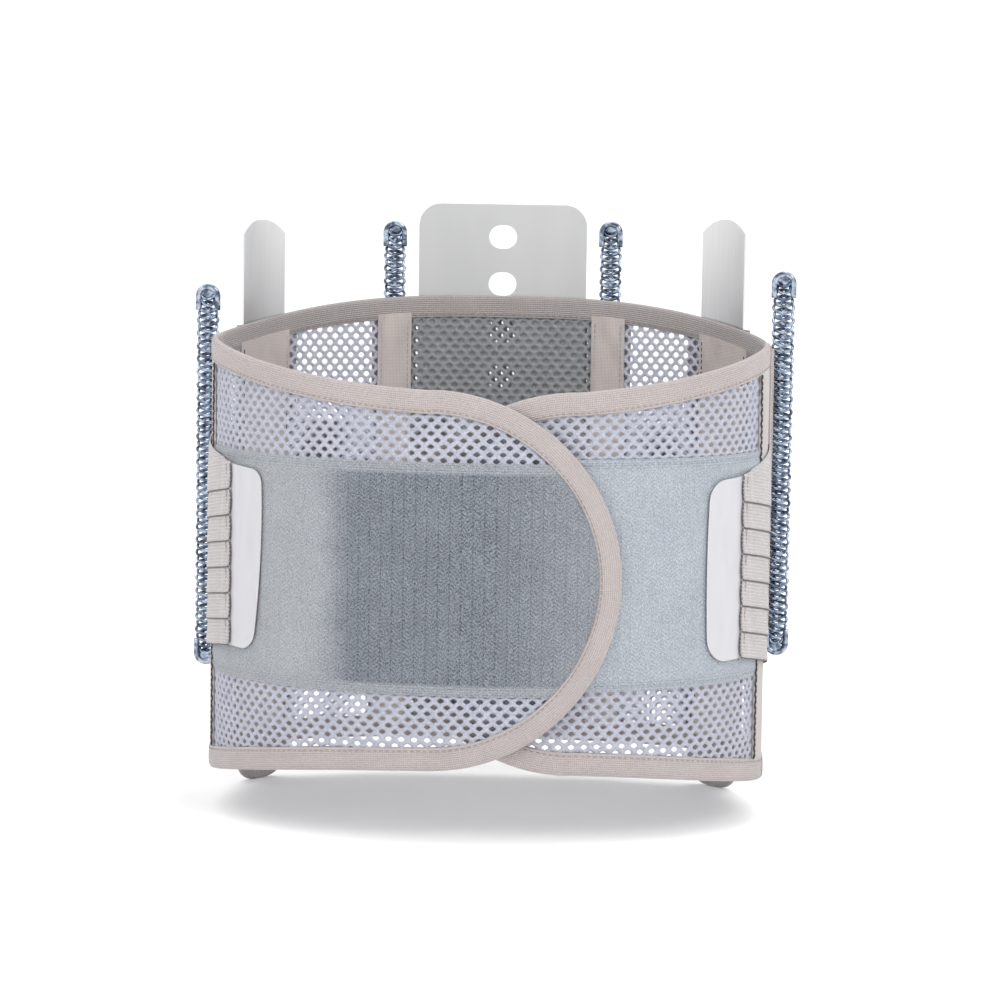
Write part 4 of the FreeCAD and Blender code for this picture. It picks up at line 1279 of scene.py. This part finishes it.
def side_channel(side):
    """The folded tape that grips the side spiral by its inner edge, and its two sewn flanges."""
    word = WORD[side]
    half = CAP_T / 2 + 0.25
    wall = 0.9
    base, lip, rear = 146.5, 149.6, 152.1
    outline = [
        (base, -half - wall + 0.5), (base + 0.4, -half - wall), (lip - 0.4, -half - wall),
        (lip, -half - wall + 0.45), (lip - 0.4, -half), (base + 1.0, -half), (base + 0.7, -half + 0.4),
        (base + 0.7, half - 0.4), (base + 1.0, half), (rear - 0.4, half), (rear, half + 0.45),
        (rear - 0.4, half + wall), (base + 0.4, half + wall), (base, half + wall - 0.5),
    ]
    x = np.array([p[0] for p in outline])
    y = np.array([p[1] for p in outline]) + SIDE_SPIRAL_Y + CENTRE_Y
    heights = np.linspace(*CHANNEL_Z, 70)
    loops = []
    for z in heights:
        stray = 0.12 * waver(z, np.arange(len(x)) * 0.8, 5.0, 121)
        loops.append(np.stack([side * (x + stray), y + 0 * x, z + 0 * x], -1) * MM)
    across = lengths(x, y)
    uv = np.stack(np.broadcast_arrays(heights[:, None], across[None, :]), -1).reshape(-1, 2)
    piece = face_outward(skin_loops(f"{word}_side_channel", np.array(loops), uv, LOOKS["seam_tape"], 50.0))
    put(piece, "back", "sleeve_fabric", f"{word}_side_channel")
    low, high = CHANNEL_FLANGE_LOW_Z, CHANNEL_Z[1]

    def outer(q, z, share):
        ridge = 1.0 - smooth(1.5, 3.4, np.abs(q + SIDE_SPIRAL_Y + 0.6))
        return 2.55 + 1.3 * ridge

    flange = slab(
        f"{word}_channel_flange", side, (-SIDE_SPIRAL_Y - 9.0, -SIDE_SPIRAL_Y + 8.0), (low, high),
        (MESH_T + 0.03, outer), step=(0.6, 4.0), uv=upright_uv, look=LOOKS["seam_tape"],
    )
    put(flange, "back", "sleeve_fabric")
    z = np.linspace(low + 1.5, high - 1.5, 30)
    for k, q in enumerate((-SIDE_SPIRAL_Y - 6.5, -SIDE_SPIRAL_Y + 5.5)):
        row = stitches(f"{word}_channel_stitch_{k + 1}", side, upright(q, z, 2.62), LOOKS["thread"])
        put(row, "back", "sleeve_fabric")


# Pieces: stays


def stay_frame(side, where):
    """Where a spiral stay stands: its middle line's x and y, and its width and outward directions."""
    if where == "side":
        centre = np.array([side * SIDE_SPIRAL_X, SIDE_SPIRAL_Y + CENTRE_Y])
        return centre, np.array([float(side), 0.0]), np.array([0.0, -1.0])
    s = back_q(BACK_SPIRAL_S)
    spot, out = (on_belt(side, s, 0.0, d)[:2] / MM for d in (BACK_SPIRAL_D, BACK_SPIRAL_D + 1.0))
    out = out - spot
    return spot, np.array([out[1], -out[0]]) * side, out


def spiral_stay(side, where):
    """A flat spiral stay: two flattened coils that overlap in the middle, and a crimped cap on each end."""
    word = WORD[side]
    node = f"{word}_{where}"
    low, high = (corner[2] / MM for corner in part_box(f"{node}_caps"))
    centre, wide, out = stay_frame(side, where)
    near = 1.0 if where == "side" else -1.0  # the strands that hang in arcs face the front of the room
    inset = 3.6
    steps = 26
    turns = round((high - low - 2 * inset) / SPIRAL_PITCH)
    pitch = (high - low - 2 * inset) / turns
    phase = np.linspace(0.0, turns * 2 * np.pi, turns * steps + 1)
    climb = pitch * phase / (2 * np.pi)
    z = low + inset + climb - pitch / 2 * np.sin(phase)
    crimp = 1.0 - 0.3 * (1.0 - smooth(7.0, 12.0, np.minimum(climb, climb[-1] - climb)))
    around = 8
    points = []
    faces = []
    for k, way in enumerate((-1, 1)):
        u = way * crimp * (1.6 - (3.5 + 0.3 * np.sin(phase / 2)) * np.cos(phase))
        v = near * ((1.7 - WIRE_R) * np.sin(phase) - 0.12 * k)
        line = np.stack([centre[0] + u * wide[0] + v * out[0], centre[1] + u * wide[1] + v * out[1], z], -1)
        first = sum(len(p) for p in points)
        tube, tube_faces = wire(line, WIRE_R, around)
        points.append(tube)
        faces += (tube_faces + first).tolist()
        faces.append([first + i for i in range(around)][::-1])
        faces.append([first + len(tube) - around + i for i in range(around)])
    coil = mesh_object(f"{node}_coil", np.concatenate(points) * MM, faces, None, LOOKS["wire"], 0.0)
    put(coil, f"{node}_spiral", "zinc_wire", f"{node}_coil")
    for name, end, way in (("lower", low, 1), ("upper", high, -1)):
        cap = spiral_cap(f"{node}_cap_{name}", centre, wide, out, end, way)
        put(cap, f"{node}_spiral", "cap_metal", *([f"{node}_caps"] if name == "lower" else []))


def wire(line, radius, around):
    """A round tube along a line of points."""
    ahead = np.gradient(line, axis=0)
    ahead /= np.linalg.norm(ahead, axis=1)[:, None]
    up = np.array([0.0, 0.0, 1.0])
    side_way = np.cross(ahead, up)
    side_way /= np.linalg.norm(side_way, axis=1)[:, None]
    top_way = np.cross(side_way, ahead)
    t = np.arange(around) * 2 * np.pi / around
    ring = line[:, None, :] + radius * (
        np.cos(t)[None, :, None] * side_way[:, None, :] + np.sin(t)[None, :, None] * top_way[:, None, :]
    )
    return ring.reshape(-1, 3), quads(len(line), around, wrap=True)


def spiral_cap(name, centre, wide, out, end, way):
    """A pressed metal tip: a U round the coil's end, closed at the bend by a dished web."""
    arm = 1.5  # half the width of the U's arm
    radius = CAP_WIDTH / 2 - arm
    bend = np.linspace(0.0, np.pi, 25)
    straight = np.linspace(CAP_LENGTH, CAP_WIDTH / 2 + 0.6, 8)
    path_u = np.concatenate([0 * straight + radius, radius * np.cos(bend), 0 * straight - radius])
    path_a = np.concatenate([straight, CAP_WIDTH / 2 - radius * np.sin(bend), straight[::-1]])
    along_u, along_a = np.gradient(path_u), np.gradient(path_a)
    size = np.hypot(along_u, along_a)
    across_u, across_a = along_a / size, -along_u / size
    _, box_w, box_v = rounded_box(20, 0.55)

    def place(u, a, v):
        x = centre[0] + u * wide[0] + v * out[0]
        y = centre[1] + u * wide[1] + v * out[1]
        return np.stack([x, y, end + way * a + 0 * x], -1) * MM

    distance = lengths(path_u, path_a)
    mouth = np.minimum(distance, distance[-1] - distance)
    dents = 0.22 * np.exp(-(((mouth - 4.6) / 0.8) ** 2)) + 0.12 * np.exp(-((mouth / 0.5) ** 2))
    half_w = (arm - 0.5 * dents)[:, None] * box_w[None, :]
    half_v = (CAP_T / 2 - 1.6 * dents)[:, None] * box_v[None, :]
    edge_u = path_u[:, None] + across_u[:, None] * half_w
    edge_a = path_a[:, None] + across_a[:, None] * half_w
    loops = place(edge_u, edge_a, half_v)
    rim = skin_loops(name, loops, None, LOOKS["cap"], 0.0)
    turn = np.linspace(0.0, np.pi, 9)[:, None]
    spin = np.linspace(0.0, 2 * np.pi, 24, endpoint=False)[None, :]
    reach = np.sin(turn) * (1.0 + 0.06 * np.cos(4 * spin))
    dish = np.cos(turn) * (0.8 + 0.35 * np.sin(turn) ** 2)
    web = place(4.2 * reach * np.cos(spin), 4.6 + 2.9 * reach * np.sin(spin), 1.7 * dish + 0 * spin)
    first = len(rim.data.vertices)
    points = np.concatenate([loops.reshape(-1, 3), web.reshape(-1, 3)])
    faces = [list(polygon.vertices) for polygon in rim.data.polygons]
    faces += (quads(9, 24, wrap=True) + first).tolist()
    bpy.data.objects.remove(rim)
    return face_outward(mesh_object(name, points, faces, None, LOOKS["cap"], 0.0))


def metal_and_plate():
    """The plate and the flat stays keep their CAD shapes, and get their real materials."""
    looks = {"support_plate": "plate", "left_flat_stay": "steel", "right_flat_stay": "steel"}
    for node, look in looks.items():
        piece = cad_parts[node]
        piece.data.materials.clear()
        piece.data.materials.append(LOOKS[look])


# Stage

SKY_STRENGTH = 1.25
SKY_GREY = 0.42
OVERHEAD = 1.35
LAMPS = [  # name, place, size, power
    ("key", (1.5, -1.8, 1.6), 1.2, 19.0),
    ("fill", (-1.5, -1.8, 1.4), 1.5, 10.0),
    ("back", (0.3, 1.8, 1.9), 1.4, 8.0),
]


def stage():
    """A pale floor under a soft studio sky: bright overhead and near the horizon, greyer between."""
    bpy.context.scene.view_settings.view_transform = "Standard"
    bpy.ops.mesh.primitive_plane_add(size=30.0, location=(0, 0, 0))
    floor = bpy.context.object
    floor.name = "floor"
    m = Shade("floor", Roughness=0.9, Base_Color=(0.95, 0.95, 0.95, 1.0))
    floor.data.materials.append(m.mat)
    world = bpy.data.worlds.new("studio")
    bpy.context.scene.world = world
    world.use_nodes = True
    tree = world.node_tree
    where = tree.nodes.new("ShaderNodeTexCoord")
    split = tree.nodes.new("ShaderNodeSeparateXYZ")
    sky = tree.nodes.new("ShaderNodeValToRGB")
    tree.links.new(where.outputs["Generated"], split.inputs[0])
    tree.links.new(split.outputs["Z"], sky.inputs["Fac"])
    tree.links.new(sky.outputs["Color"], tree.nodes["Background"].inputs["Color"])
    heights = [(0.0, 1.0), (0.1, 1.0), (0.2, SKY_GREY), (0.55, SKY_GREY), (0.75, OVERHEAD)]
    while len(sky.color_ramp.elements) < len(heights):
        sky.color_ramp.elements.new(1.0)
    for element, (height, grey) in zip(sky.color_ramp.elements, heights):
        element.position = height
        element.color = (grey, grey, grey, 1.0)
    tree.nodes["Background"].inputs["Strength"].default_value = SKY_STRENGTH
    for name, place, size, power in LAMPS:
        light = bpy.data.lights.new(name, "AREA")
        light.size = size
        light.energy = power
        lamp = bpy.data.objects.new(name, light)
        lamp.location = place
        lamp.rotation_euler = (Vector((0, 0, 0.14)) - lamp.location).to_track_quat("-Z", "Y").to_euler()
        bpy.context.scene.collection.objects.link(lamp)


def camera():
    """A long lens a little to the right of the front and a little above it, with a slight tilt."""
    azimuth = math.radians(3.0)
    distance = 1.98
    eye = Vector((distance * math.sin(azimuth), -distance * math.cos(azimuth), 0.376))
    target = Vector((0.0, 0.0, 0.165))
    aside = 0.006
    tilt = math.radians(0.85)
    data = bpy.data.cameras.new("camera")
    data.lens = 135.5
    data.sensor_width = 36.0
    data.clip_end = 100.0
    view = bpy.data.objects.new("camera", data)
    turn = (target - eye).to_track_quat("-Z", "Y").to_matrix()
    eye += turn @ Vector((aside, 0.0, 0.0))
    turn = turn @ Matrix.Rotation(tilt, 3, "Z")
    view.matrix_world = Matrix.Translation(eye) @ turn.to_4x4()
    bpy.context.scene.collection.objects.link(view)
    bpy.context.scene.camera = view


def main():
    camera()
    stage()
    for side in (LEFT, RIGHT):
        flap_mesh(side)
        loop_band(side)
        flap_binding(side)
        seam_tape(side)
        strap(side)
        hook_tab(side)
        strap_anchor(side)
        lining(side)
        sleeves(side)
        side_channel(side)
        for where in ("back", "side"):
            spiral_stay(side, where)
    hook_patch()
    back_meshes()
    back_bindings()
    pocket_tapes()
    metal_and_plate()


main()
bpy.context.view_layer.update()
